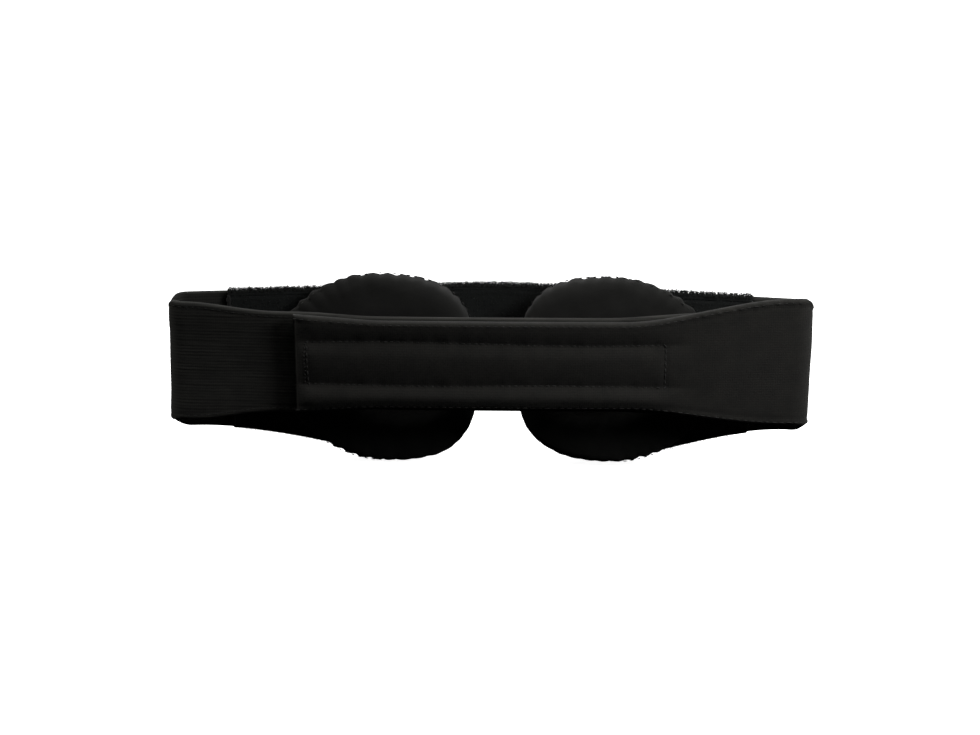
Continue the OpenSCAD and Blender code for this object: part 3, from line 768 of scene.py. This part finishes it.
def seamLow(x):
    return rightStrap["seamZ"] - rightStrap["seamHalf"] + 0.4 * rightStrap["seamSlack"] * np.sin(0.07 * x)


def pillow(z, low, high, crest):  # a rounded quilt between two seams, its crest nearer the upper one
    t = np.clip((z - low) / (high - low), 0, 1)
    t = np.where(t < crest, 0.5 * t / crest, 0.5 + 0.5 * (t - crest) / (1 - crest))
    return np.sin(np.pi * t) ** 0.8


def quilted(place):  # face height of the right strap over the loop's outer face
    look = rightStrap
    x, z = place["x"], place["z"]
    top, low = seamTop(x), seamLow(x)
    along = ease((x - look["fromX"] + 5) / 7) * ease((look["toX"] + 14 - x) / 24) * (place["y"] < 0)
    crest, fullness = look["crest"], look["fullness"]
    upper = pillow(z, top, place["high"] + look["pastTop"], crest["upper"]) * fullness["upper"]
    middle = pillow(z, low, top, crest["middle"]) * fullness["middle"]
    lower = pillow(z, place["low"] - look["pastLow"], low, crest["lower"]) * fullness["lower"]
    quilts = np.where(z > top, upper, np.where(z > low, middle, lower))
    wide = look["puckerWide"]
    pucker = ripple(x, 0 * x, 5.0, 5) * (ridge(z, top, wide) + ridge(z, low, wide))
    endSeams = sum(deep * ridge(x, at, 0.8) * ((z < top) & (z > low))
                   for at, deep in ((look["fromX"], 0.1), (look["toX"], 0.35)))
    height = along * (quilts * (look["high"] + look["deep"]) - look["deep"] + look["pucker"] * pucker)
    height = height - endSeams * (place["y"] < 0)
    under = np.clip(1 - (z - place["low"]) / 5.5, 0, 1) ** 2
    under = under + 0.4 * np.clip(1 - (place["high"] - z) / 2.5, 0, 1) ** 2
    height = height - along * look["rollUnder"] * under
    height = height - look["endSag"] * np.clip(1 - place["end"] / 4, 0, 1) ** 2
    folds = ripple(place["s"], z * 1.6, 30.0, 3) * look["wrinkle"] * (1 - 0.6 * along)
    bead = 0.1 * ridge(place["edge"], 1.3, 0.7) - 0.16 * ridge(place["edge"], 2.6, 0.6)
    twist = np.sin(place["s"] * 2 * np.pi / look["twistMm"] + place["edge"] * 2.2)
    twist = 0.16 * twist * ridge(place["edge"], 1.0, 0.9)
    hemLine = 0.3 * ridge(place["end"], look["hemLen"], 0.5)
    edge = rounded(np.minimum(place["edge"], place["end"] + 0.02), look["edgeR"])
    return height + folds + (bead + twist) * (1 - 0.5 * along) - hemLine + loop["strapT"] / 2 * (edge - 1)


def strapInside(place):
    edge = rounded(np.minimum(place["edge"], place["end"] + 0.02), rightStrap["edgeR"])
    return -loop["strapT"] / 2 * (1 + edge)


rightLength = resample(paths["right"], 1.0)[-1, 6]
leftLength = resample(paths["left"], 1.0)[-1, 6]


def makeRightStrap():
    look = rightStrap
    shell = stripPiece("right_strap_shell", paths["right"], quilted, strapInside, look["row"],
                       step=look["step"], span=(0, rightLength - look["trim"]))
    dress(shell, strapKnit)
    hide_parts("right_fold", "right_strap_cover", "right_strap_back", "right_strap_edge_seams",
                "right_strap_end_hem")
    blendStrap(shell)
    core = stripPiece("right_elastic_core", paths["right"], lambda p: quilted(p) * 0.5 - 1.25,
                      lambda p: -2.15, 2.0, low=1.6, high=1.6, step=2.0,
                      span=(24, rightLength - look["trim"] - 3.5))
    fit(core, wovenElastic, "elastic", "right_strap", "right_strap_elastic")


def sewOnFace(name, path, face, zOf, start, trim, body, lift=0.0, **size):
    # a seam on the strap's face, from a start along the path to a trim before its end
    rows = resample(path, 1.0)
    length = rows[-1, 6]
    rows = rows[(rows[:, 6] >= start) & (rows[:, 6] <= length - trim)]
    z = zOf(rows)
    low, high = rows[:, 4], rows[:, 5]
    place = dict(x=rows[:, 0], y=rows[:, 1], z=z, s=rows[:, 6], edge=np.minimum(z - low, high - z),
                 end=length - rows[:, 6], low=low, high=high)
    h = face(place) + lift
    points = np.stack([rows[:, 0] + rows[:, 2] * h, rows[:, 1] + rows[:, 3] * h, z], 1)
    sewLine(name, points, body, **size)


def rectanglePoints():  # the sewn rectangle that holds the hook tape, laid in the grooves of the quilting
    look = rightStrap
    xs = np.arange(look["fromX"], look["toX"] + 0.01, 1.0)
    corner = [(x, seamTop(x)) for x in xs]
    corner += [(look["toX"], z) for z in np.arange(seamTop(look["toX"]), seamLow(look["toX"]), -1.0)]
    corner += [(x, seamLow(x)) for x in xs[::-1]]
    corner += [(look["fromX"], z) for z in np.arange(seamLow(look["fromX"]), seamTop(look["fromX"]), 1.0)]
    return np.array(corner)


def onStrap(xz, face, lift):  # places over the closed back strap, lifted out by lift
    x, z = xz[:, 0], xz[:, 1]
    r = loop["bowR"]
    edges = rightEdges(x)
    place = dict(x=x, y=0 * x - 8, z=z, s=rightLength - (x - rightEdge["endX"]), low=edges[0], high=edges[1],
                 edge=np.minimum(z - edges[0], edges[1] - z), end=x - rightEdge["endX"])
    h = face(place) + lift
    nx = (x - loop["bowX"]) / r
    ny = -np.sqrt(1 - nx ** 2)
    return np.stack([loop["bowX"] + (r + h) * nx, bowY + (r + h) * ny, z], 1)


def makeTapeStitches():
    xz = rectanglePoints()
    outside = sewLine("tape_stitches_outside", onStrap(xz, quilted, 0.12), "right_strap",
                      pitch=2.3, length=1.75, thick=0.26, closed=True)
    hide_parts("hook_tape_stitching")
    bar = [(rightStrap["fromX"] - 1.0 + 0.3 * (k % 2), z) for k, z in
           enumerate(np.arange(seamLow(-60) + 0.8, seamTop(-60) - 0.6, 0.6))]
    sewLine("tape_bartack", onStrap(np.array(bar), quilted, 0.1), "right_strap",
            pitch=1.5, length=0.7, thick=0.22)
    half = tape["width"] / 2 - tape["inset"]
    inner = [(x, rightEdge["z"] + half) for x in np.arange(tape["x0"] + 0.8, tape["x1"] - 0.7, 1.0)]
    inner += [(x, rightEdge["z"] - half) for x in np.arange(tape["x1"] - 0.8, tape["x0"] + 0.7, -1.0)]
    sewLine("tape_stitches_inside", onStrap(np.array(inner), lambda p: -3.62, 0), "right_strap",
            pitch=2.3, length=1.75, thick=0.2, closed=True)


makeRightStrap()
makeTapeStitches()
print("right strap and its stitches made")

# Hook tape: a thin nylon strip with rows of hooks, sewn inside the right strap

hookTape = dict(base=0.5, height=0.62, thick=0.13, pitch=1.55, margin=1.7)


def makeHookTape():
    look = hookTape
    z0, z1 = rightEdge["z"] - tape["width"] / 2, rightEdge["z"] + tape["width"] / 2
    rows = resample(np.array(bowRows(tape["x1"], tape["x0"], loop["bowR"], lambda x: (z0, z1), 100)), 1.2)
    top = loop["strapT"] + 0.03
    strip = stripPiece("hook_tape_base", rows[:, :6],
                       lambda p: -top - 0.12 * (1 - rounded(p["edge"], 0.5)),
                       lambda p: -top - look["base"] + 0.12 * (1 - rounded(p["edge"], 0.5)), 0.8, step=1.2)
    fit(strip, nylonHook, "nylon_hook", "right_strap", "hook_tape")
    xs = np.arange(tape["x0"] + look["margin"], tape["x1"] - look["margin"] + 0.1, look["pitch"])
    zs = np.arange(z0 + look["margin"], z1 - look["margin"] + 0.1, look["pitch"] * 0.9)
    grid = np.array([(x + (k % 2) * look["pitch"] / 2, z) for k, z in enumerate(zs) for x in xs])
    points = onStrap(grid, lambda p: -top - look["base"] + 0.05, 0)
    nx = (grid[:, 0] - loop["bowX"]) / loop["bowR"]
    facing = np.stack([-nx, np.sqrt(1 - nx ** 2), 0 * nx], 1)
    cloud = pointCloud("hook_tape_hooks", points, facing)
    grow("hook_tape_hooks", cloud, hooks, {
        "Height": look["height"] * mm, "Thickness": look["thick"] * mm, "Seed": 11, "Material": nylonHook},
        "nylon_hook", "right_strap")


makeHookTape()
print("hook tape made")

# Left strap: the loop face that the hooks grip

leftStrap = dict(step=1.2, row=0.37, edgeR=1.0, wrinkle=0.2, leanOut=0.3, lean=0.7, ribMm=1.1, ribHigh=0.012)


def leanAt(place):  # round its fold the left strap hangs further out towards its lower edge
    tilt = leftStrap["leanOut"] - leftStrap["lean"] * place["z"] / 20
    return tilt * ease((-88 - place["x"]) / 18) * ease((6.5 - place["y"]) / 4)


def ribbedFace(place):
    look = leftStrap
    edge = place["edge"]
    ribs = look["ribHigh"] * np.sin(place["z"] * 2 * np.pi / look["ribMm"]) * ease((edge - 2.0) / 1.2)
    ribs = ribs + 0.05 * ripple(place["s"] * 0.12, place["z"] * 2.0, 3.2, 12) * ease((edge - 2) / 1.5)
    bead = 0.05 * ridge(edge, 1.1, 0.6) - 0.06 * ridge(edge, 2.3, 0.6)
    seen = ease((-62 - place["x"]) / 10)
    folds = ripple(place["s"], place["z"] * 0.7, 22.0, 9) * look["wrinkle"] * seen
    sag = -0.5 * ease((edge - 3) / 14) * seen * (place["y"] < 0)
    turned = loop["strapT"] / 2 * (rounded(np.minimum(edge, place["end"] + 0.02), look["edgeR"]) - 1)
    return ribs + bead + folds + sag - 0.25 + leanAt(place) + turned


def leftInside(place):
    edge = rounded(np.minimum(place["edge"], place["end"] + 0.02), leftStrap["edgeR"])
    return -loop["strapT"] / 2 * (1 + edge) + leanAt(place)


def makeLeftStrap():
    look = leftStrap
    shell = stripPiece("left_strap_shell", paths["left"], ribbedFace, leftInside, look["row"],
                       step=look["step"])
    fit(shell, loopKnit, "ribbed_loop_knit", "face_band", "left_strap_loop_face", "left_strap_back",
        "left_strap_edge_seams", "left_strap_end_hem")
    core = stripPiece("left_elastic_core", paths["left"], lambda p: ribbedFace(p) * 0.7 - 0.85,
                      lambda p: leftInside(p) + 0.8, 2.0, low=1.6, high=1.6, step=1.5,
                      span=(2, leftLength - 3.5))
    fit(core, wovenElastic, "elastic", "face_band", "left_strap_elastic")


makeLeftStrap()
for label, column, inset in (("top", 5, -1.7), ("low", 4, 1.7)):
    sewOnFace("left_strap_%s_stitches" % label, paths["left"], ribbedFace, lambda r: r[:, column] + inset,
              6, 2, "face_band", pitch=2.4, length=1.6, thick=0.16)
sewOnFace("right_strap_top_stitches", paths["right"], quilted, lambda r: r[:, 5] - 1.3, 6, 3,
          "across", pitch=2.6, length=1.5, thick=0.18)
sewOnFace("right_strap_low_stitches", paths["right"], quilted, lambda r: r[:, 4] + 1.2, 6, 3,
          "across", lift=0.05, pitch=2.6, length=1.9, thick=0.18)
print("left strap made")

# Panel: outer cover, lining, the rolled edges and the side seams

panel = dict(step=1.3, row=1.4, coverT=0.8, liningT=0.8, bindingH=1.4, stitchIn=3.4)


def coverFace(place):
    soft = ripple(place["x"], place["z"], 42.0, 21) * 0.22 + ripple(place["x"], place["z"], 14.0, 22) * 0.06
    stitchLine = 0.35 * ridge(place["edge"], panel["stitchIn"] - 1.0, 0.7)
    return soft * ease((place["edge"] - 2) / 8) - stitchLine - 0.25 * (1 - rounded(place["edge"], 1.0))


def coverBack(place):
    return coverFace(place) - panel["coverT"] + 0.15


def liningFront(place):
    return -loop["panelT"] + panel["liningT"]


def liningBack(place):
    soft = ripple(place["x"], place["z"], 26.0, 33) * 0.12 + ripple(place["x"], place["z"], 6.0, 34) * 0.05
    stitchLine = 0.08 * ridge(place["edge"], panel["stitchIn"] - 1.0, 0.6)
    return -loop["panelT"] + soft * ease((place["edge"] - 2) / 6) + stitchLine


def makePanelCloths():
    cover = stripPiece("front_cover_cloth", paths["panel"], coverFace, coverBack, panel["row"], 1.0, 1.0,
                       step=panel["step"])
    fit(cover, coverKnit, "brushed_knit", "face_band", "front_cover")
    lining = stripPiece("loop_lining_cloth", paths["panel"], liningFront, liningBack, panel["row"], 1.0, 1.0,
                        step=panel["step"])
    fit(lining, loopPile, "loop_pile", "face_band", "loop_lining")


def makeFoamSheet():  # the soft foam between the two cloths
    length = resample(paths["panel"], 1.0)[-1, 6]
    sheet = stripPiece("front_foam_sheet", paths["panel"], lambda p: -panel["coverT"] - 0.75,
                       lambda p: -loop["panelT"] + panel["liningT"] + 0.35, 2.5, 2.4, 2.4, step=2.5,
                       span=(2, length - 2))
    fit(sheet, foam, "foam", "face_band", "front_foam")


def bindingSection(h, t, count=9):  # a rolled edge: round outside, flat where it closes on the cloths
    rim = [(t / 2 - t / 2 * math.cos(np.pi * k / count), -h + h * math.sin(np.pi * k / count) ** 0.6)
           for k in range(count + 1)]
    return rim + [(t - 0.3, -h - 0.5), (t / 2, -h - 0.4), (0.3, -h - 0.5)]


def makeBinding(name, node, way, material, slotName):  # way is 1 along the top edge and -1 along the bottom
    rows = resample(paths["panel"], panel["step"])
    swell = 1 + 0.08 * ripple(rows[:, 6], 0 * rows[:, 6], 6.0, 51 if way > 0 else 52)
    section = bindingSection(panel["bindingH"], loop["panelT"])
    rings, cloth = [], []
    for row, full in zip(rows, swell):
        edge = row[5] if way > 0 else row[4]
        rings.append([[row[0] - row[2] * d, row[1] - row[3] * d, edge + way * out * full]
                      for d, out in section])
        cloth.append([[row[6], d * 1.5 + out, 0] for d, out in section])
    piece = addObject(name, ringsMesh(name, np.array(rings), np.array(cloth)))
    fit(piece, material, slotName, "face_band", node)


def makeEdgePile(name, way, density, height, seed):  # pile that stands up along a panel edge
    rows = resample(paths["panel"], panel["step"])
    points, faces = [], []
    depth = np.linspace(1.2, 4.9, 5)
    for i, row in enumerate(rows):
        edge = (row[5] if way > 0 else row[4]) + way * (0.12 - 0.3 * ((depth - 2.3) / 2.3) ** 2)
        points += [[row[0] - row[2] * d, row[1] - row[3] * d, z] for d, z in zip(depth, edge)]
        if i:
            base = 5 * i
            quads = [[base + k - 5, base + k, base + k + 1, base + k - 4] for k in range(4)]
            faces += quads if way < 0 else [q[::-1] for q in quads]
    ribbon = addObject(name, shellMesh(name, points, faces))
    if ribbon.data.polygons[len(ribbon.data.polygons) // 2].normal.z * way < 0:
        ribbon.data.flip_normals()
    grow(name, ribbon, pile, {
        "Density": density, "Height": height * mm, "Thickness": 0.09 * mm, "Lean": 0.5, "Seed": seed,
        "Material": loopPile}, "loop_pile", "face_band")


def makeLiningPile(name, density, height, seed):  # pile over the lining's inner face
    rows = resample(paths["panel"], 2.5)
    count = 16
    depth = loop["panelT"] + 0.02
    points, faces = [], []
    for i, row in enumerate(rows):
        for k in range(count):
            z = mix(row[4] + 1.6, row[5] - 1.0, k / (count - 1))
            points.append([row[0] - row[2] * depth, row[1] - row[3] * depth, z])
        if i:
            base = count * i
            faces += [[base + k - count, base + k + 1 - count, base + k + 1, base + k]
                      for k in range(count - 1)]
    sheet = addObject(name, shellMesh(name, points, faces))
    if sheet.data.polygons[len(sheet.data.polygons) // 2].normal.y > 0:
        sheet.data.flip_normals()
    grow(name, sheet, pile, {
        "Density": density, "Height": height * mm, "Thickness": 0.05 * mm, "Lean": 0.9, "Seed": seed,
        "Material": loopPile}, "loop_pile", "face_band")


def makeSideSeam(name, node, side):  # the whipped roll where the thin strap meets the thick panel
    row = np.array(halfPanel(side, seamDist(side), foldEnd(side), 4))[0]
    n = row[2:4]
    along = np.array([n[1], -n[0]]) * side
    low, high = row[4] + panel["bindingH"], row[5] - 1.3
    count, around = 96, 10
    turn = 2 * np.pi * np.arange(around) / around
    rings, cloth = [], []
    for i in range(count + 1):
        z = mix(low, high, i / count)
        roll = 0.8 + 0.14 * math.sin(z * 2 * math.pi / 2.4) + 0.1 * math.sin(z * 1.7)
        off = row[:2] - n * (loop["panelT"] - 0.45)
        ring = [np.append(off + along * (math.cos(a) * roll - 0.2) + n * math.sin(a) * 0.75, z) for a in turn]
        rings.append(ring)
        cloth.append([[z, k * 0.8, 0] for k in range(around)])
    piece = addObject(name, ringsMesh(name, np.array(rings), np.array(cloth)))
    fit(piece, bindingKnit, "binding", "face_band", node)


makePanelCloths()
makeFoamSheet()
makeBinding("top_rolled_edge", "top_edge_binding", 1, loopPile, "binding")
makeBinding("bottom_rolled_edge", "bottom_edge_binding", -1, bindingKnit, "binding")
makeEdgePile("top_edge_pile", 1, 8.5e6, 0.95, 61)
makeEdgePile("bottom_edge_pile", -1, 1.5e6, 0.35, 62)
makeLiningPile("lining_pile", 1.1e6, 0.55, 63)
makeSideSeam("left_seam_roll", "left_side_seam", -1)
makeSideSeam("right_seam_roll", "right_side_seam", 1)
for way, label, column in ((-1, "top", 5), (1, "low", 4)):
    sewOnFace("cover_%s_stitches" % label, paths["panel"], lambda p: -0.3,
              lambda r: r[:, column] + way * panel["stitchIn"], 3, 0, "face_band")
print("panel made")

# Eye cups: a padded ring round each eye, on a board with a round hook patch

cup = dict(
    gap=9.3, z=-6.3, noseReach=34.5, templeReach=38.0, slant=3.0, halfH=33.0, noseT=16.0, taper=0.155,
    boardBack=1.2, boardFront=2.7, hollowHalfW=17.5, hollowHalfH=13.0, hollowShift=6.0, patchR=17.0,
    gathers=44, gatherMm=0.42, fill=0.75, foamSink=2.6, rimIn=2.2, rimUp=2.2, rimR=1.0)
# how far each cup's rim stands out past its board: everywhere, at its top and at its bottom
rimOut = {-1: dict(least=0.7, top=2.7, topAt=1.3, low=2.0, lowAt=4.3),
          1: dict(least=0.5, top=2.3, topAt=1.6, low=0.7, lowAt=4.4)}
cloth = dict(voxel=1.5, pressure=4.0, cap=1.3, shrink=0.5, frames=20)


def signedPow(v, e):
    return np.sign(v) * np.abs(v) ** e


def cupOutline(a, g=0.0):
    nose = np.cos(a) < 0
    e = np.where(nose, 2 / 2.8, 1.0)
    reach = np.where(nose, cup["noseReach"], cup["templeReach"] + cup["slant"] * np.sin(a))
    return np.stack([(reach + g) * signedPow(np.cos(a), e), (cup["halfH"] + g) * signedPow(np.sin(a), e)], -1)


def hollowOutline(a):
    return np.stack([cup["hollowHalfW"] * np.cos(a) - cup["hollowShift"], cup["hollowHalfH"] * np.sin(a)], -1)


def growth(a, side):  # fullest where the foam presses
    e = rimOut[side]
    return (e["least"] + e["top"] * np.clip(np.cos(a - e["topAt"]), 0, 1) ** 2
            + e["low"] * np.clip(np.cos(a - e["lowAt"]), 0, 1) ** 4)


def grown(points, side):  # the pad's flat shape with that growth, none at its middle
    angle = np.arctan2(points[:, 2] / cup["halfH"], points[:, 0] / 36.0)
    out = points[:, [0, 2]] / np.linalg.norm(points[:, [0, 2]], axis=1)[:, None]
    near = np.linalg.norm(points[:, [0, 2]], axis=1) / np.linalg.norm(cupOutline(angle), axis=1)
    move = out * (growth(angle % (2 * np.pi), side) * near ** 4)[:, None]
    return points + np.stack([move[:, 0], 0 * near, move[:, 1]], 1)


def domePoint(a, f, sink):  # f runs over the ring, from 0 at the rim to pi at the foot of the hollow
    o, h = cupOutline(a), hollowOutline(a)
    width = np.linalg.norm(h - o, axis=-1)
    over = (0.5 - 0.5 * signedPow(np.cos(f), 0.8) * (1 - 2 * sink / width)) ** 1.15
    p = o + (h - o) * over[..., None]
    board = cup["boardFront"] - cup["boardBack"]
    top = cup["noseT"] - board - cup["taper"] * (p[..., 0] + cup["noseReach"])
    up = (top - sink) * np.abs(np.sin(f)) ** np.where(f < np.pi / 2, 0.5, 0.7)
    floor = np.where(f > np.pi / 2, 0.8, 0.0)
    return np.stack([p[..., 0], -cup["boardFront"] - np.maximum(up, floor), p[..., 1]], -1)


def padShape(sink, around=120, over=26):  # the closed pad: under side, rim, dome, hollow and its floor
    a = 2 * np.pi * np.arange(around) / around
    rings = []
    under = -cup["boardFront"] + 0.75
    centre = np.array([-cup["hollowShift"], 0.0])
    for t in (0.25, 0.6, 0.92):
        o = centre + (cupOutline(a, -sink) - centre) * t
        rings.append(np.stack([o[:, 0], 0 * a + under, o[:, 1]], -1))
    for f in np.linspace(0, np.pi, over):
        rings.append(domePoint(a, np.full(around, f), sink))
    for t in (0.66, 0.33):
        o = centre + (hollowOutline(a) - centre) * t
        rings.append(np.stack([o[:, 0], 0 * a - cup["boardFront"] - 0.8, o[:, 1]], -1))
    points = np.concatenate(rings)
    faces = []
    for i in range(len(rings) - 1):
        for k in range(around):
            m = (k + 1) % around
            faces.append((i * around + k, i * around + m, (i + 1) * around + m, (i + 1) * around + k))
    last = len(points)
    points = np.concatenate([points, [[centre[0], under, 0], [centre[0], -cup["boardFront"] - 0.8, 0]]])
    for k in range(around):
        m = (k + 1) % around
        faces.append((last, m, k))
        top = (len(rings) - 1) * around
        faces.append((last + 1, top + k, top + m))
    return points, faces


def inflate(piece):  # swells the pad with Cloth pressure, its rim and under side held, and keeps the result
    coords = np.array([v.co[:] for v in piece.data.vertices])
    rim = -(cup["boardFront"] + 0.25) * mm
    held = piece.vertex_groups.new(name="held")
    held.add([int(i) for i in np.nonzero(coords[:, 1] > rim)[0]], 1.0, "REPLACE")
    modifier = piece.modifiers.new("fill", "CLOTH")
    settings = modifier.settings
    settings.quality = 5
    settings.mass = 0.2
    settings.tension_stiffness = settings.compression_stiffness = settings.shear_stiffness = 12
    settings.bending_stiffness = 0.4
    settings.use_pressure = True
    settings.uniform_pressure_force = cloth["pressure"]
    settings.vertex_group_mass = "held"
    settings.effector_weights.gravity = 0
    modifier.point_cache.frame_start = 1
    modifier.point_cache.frame_end = cloth["frames"]
    for step in range(1, cloth["frames"] + 1):
        scene.frame_set(step)
    graph = bpy.context.evaluated_depsgraph_get()
    swollen = piece.evaluated_get(graph).to_mesh()
    moved = np.array([v.co[:] for v in swollen.vertices]) - coords
    piece.evaluated_get(graph).to_mesh_clear()
    far = np.linalg.norm(moved, axis=1)
    limit = cloth["cap"] * mm
    moved *= (limit * np.tanh(far / limit) / np.maximum(far, 1e-9))[:, None]
    piece.modifiers.remove(modifier)
    piece.vertex_groups.remove(held)
    piece.data.vertices.foreach_set("co", (coords + moved).ravel())
    scene.frame_set(1)
    print("pad filled: %d points, moved up to %.1f mm" % (len(coords), far.max() / mm))


def makePadMesh():  # one pad in its own flat place, for both cups
    points, faces = padShape(cloth["shrink"])
    piece = addObject("pad_start", shellMesh("pad_start", points, faces))
    remesh = piece.modifiers.new("even", "REMESH")
    remesh.mode = "VOXEL"
    remesh.voxel_size = cloth["voxel"] * mm
    piece = plainMesh("pad_even", piece)
    inflate(piece)
    smooth = piece.modifiers.new("soften", "SMOOTH")
    smooth.factor = 0.5
    smooth.iterations = 3
    finer = piece.modifiers.new("finer", "SUBSURF")
    finer.levels = finer.render_levels = 1
    piece = plainMesh("pad_soft", piece)
    coords = np.array([v.co[:] for v in piece.data.vertices]) / mm
    faces = [tuple(p.vertices) for p in piece.data.polygons]
    normals = np.array([v.normal[:] for v in piece.data.vertices])
    bpy.data.objects.remove(piece)
    return coords, faces, normals


def gatherPad(coords, normals, seed):  # puckers where the seams at the rim and the hollow draw the cloth in
    x, z = coords[:, 0], coords[:, 2]
    angle = np.arctan2(z / cup["halfH"], x / (0.5 * (cup["noseReach"] + cup["templeReach"])))
    height = -coords[:, 1] - cup["boardFront"]
    o = cupOutline(angle)
    near = np.linalg.norm(coords[:, [0, 2]], axis=1) / np.linalg.norm(o, axis=1)
    outer = np.exp(-np.clip(height - 3.5, 0, None) / 3.0) * ease((near - 0.78) / 0.16)
    inner = np.exp(-((near - 0.42) / 0.16) ** 2)
    drift = ripple(angle * 35, 0 * angle, 18.0, seed)
    wave = np.abs(np.sin(0.5 * angle * cup["gathers"] + 0.5 * drift)) - 0.6
    deep = np.sin(angle * 19 + 1.3 * drift + 0.3)
    soft = ripple(x, z, 15.0, seed + 1)
    move = cup["gatherMm"] * wave * outer * 1.3 + 0.16 * deep * inner + 0.16 * soft * ease(height / 3)
    return coords + normals * move[:, None]


def cupPlace(points, side):  # from the cup's own flat place to its place on the panel
    row = np.array(halfPanel(side, cup["gap"] + cup["noseReach"], cup["gap"] + cup["noseReach"], 1))[0]
    a = -side * slopeOf(side)
    x, y = side * points[:, 0], points[:, 1]
    return np.stack([
        row[0] - row[2] * loop["panelT"] + x * math.cos(a) - y * math.sin(a),
        row[1] - row[3] * loop["panelT"] + x * math.sin(a) + y * math.cos(a), points[:, 2] + cup["z"]], 1)


def sideName(side):
    return "right" if side > 0 else "left"


def makePad(pad, side):
    coords, faces, normals = pad
    name = sideName(side) + "_cup_pad"
    points = cupPlace(grown(gatherPad(coords, normals, 71 if side > 0 else 75), side), side)
    piece = addObject(name, shellMesh(name, points, faces))
    dress(piece, microfibre)
    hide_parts(sideName(side) + "_cup_cover")
    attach(piece, sideName(side) + "_cup")


def makeFoam(side):  # the moulded foam ring inside the pad
    points, faces = padShape(cup["foamSink"], 72, 14)
    name = sideName(side) + "_cup_foam_ring"
    piece = addObject(name, shellMesh(name, cupPlace(points + np.array([0, 0.9, 0]), side), faces))
    fit(piece, foam, "foam", sideName(side) + "_cup", sideName(side) + "_cup_foam")


def flatLine(a, g, depth):  # a line round the cup, g outside its rim, at a depth over the lining
    o = cupOutline(a, g)
    return np.stack([o[:, 0], 0 * a - depth, o[:, 1]], 1)


def makeRim(side):  # the gathered roll at the cup's foot
    a = 2 * np.pi * np.arange(160) / 160
    name = sideName(side) + "_cup_rim_roll"
    line = cupPlace(grown(flatLine(a, -cup["rimIn"], cup["rimUp"]), side), side)
    grow(name, polyline(name, line, True), gatheredRoll, {
        "Radius": cup["rimR"] * mm, "Gathers": cup["gathers"], "Depth": 0.3, "Material": microfibre},
        "binding", sideName(side) + "_cup", sideName(side) + "_cup_piping")


def makeRimStitches(pad, side):  # a line of stitches round the dome just inside its rim
    coords = pad[0]
    a = 2 * np.pi * np.arange(220) / 220
    want = flatLine(a, -0.9, 5.6)
    near = [coords[np.argmin(((coords - w) ** 2).sum(1) + 40 * (coords[:, 1] > -4.6))] for w in want]
    line = np.array(near)
    for _ in range(3):
        line = (np.roll(line, 1, 0) + 2 * line + np.roll(line, -1, 0)) / 4
    out = flatLine(a, 1.0, 5.6) - want
    line += 0.25 * out / np.linalg.norm(out, axis=1)[:, None]
    sewLine(sideName(side) + "_cup_rim_stitches", cupPlace(grown(line, side), side), sideName(side) + "_cup",
            pitch=2.6, length=1.5, thick=0.2, closed=True)


def makePatch(side):  # the round patch: its backing and the hooks that grip the lining
    name = sideName(side) + "_patch_backing"
    around, radius = 72, cup["patchR"]
    a = 2 * np.pi * np.arange(around) / around
    rings = []
    section = ((0.01, 1.1), (radius - 0.3, 1.1), (radius, 1.25),
               (radius, 1.55), (radius - 0.3, 1.7), (0.01, 1.7))
    for r, depth in section:
        rings.append(np.stack([r * np.cos(a), 0 * a - depth, r * np.sin(a)], 1))
    points = np.stack([cupPlace(ring, side) for ring in rings])
    flat = np.stack([np.stack([ring[:, 0], ring[:, 2], 0 * a], 1) for ring in rings])
    piece = addObject(name, ringsMesh(name, points, flat))
    fit(piece, nylonHook, "nylon_hook", sideName(side) + "_patch", sideName(side) + "_hook_patch")
    grid = np.array([(x + (k % 2) * 0.75, -1.15, z) for k, z in enumerate(np.arange(-15.6, 15.7, 1.35))
                     for x in np.arange(-15.75, 15.8, 1.5) if math.hypot(x + (k % 2) * 0.75, z) < radius - 1])
    spot = cupPlace(grid, side)
    facing = np.repeat(cupPlace(np.array([[0.0, 1.0, 0.0], [0.0, 0.0, 0.0]]), side)[:1], len(grid), 0)
    facing = facing - cupPlace(np.array([[0.0, 0.0, 0.0]]), side)
    cloud = pointCloud(sideName(side) + "_patch_hooks", spot, facing)
    grow(sideName(side) + "_patch_hooks", cloud, hooks, {
        "Height": 0.82 * mm, "Thickness": 0.13 * mm, "Seed": 17, "Material": nylonHook},
        "nylon_hook", sideName(side) + "_patch")


pad = makePadMesh()
for side in (-1, 1):
    makePad(pad, side)
    makeFoam(side)
    makeRim(side)
    makeRimStitches(pad, side)
    makePatch(side)
    print(sideName(side), "cup made")


# The cups' boards stay as they are and take their real finish

def finishNode(name, material):
    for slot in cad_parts[name].material_slots:
        slot.material = material


for side in (-1, 1):
    finishNode(sideName(side) + "_cup_board", evaBoard)
print("boards dressed")
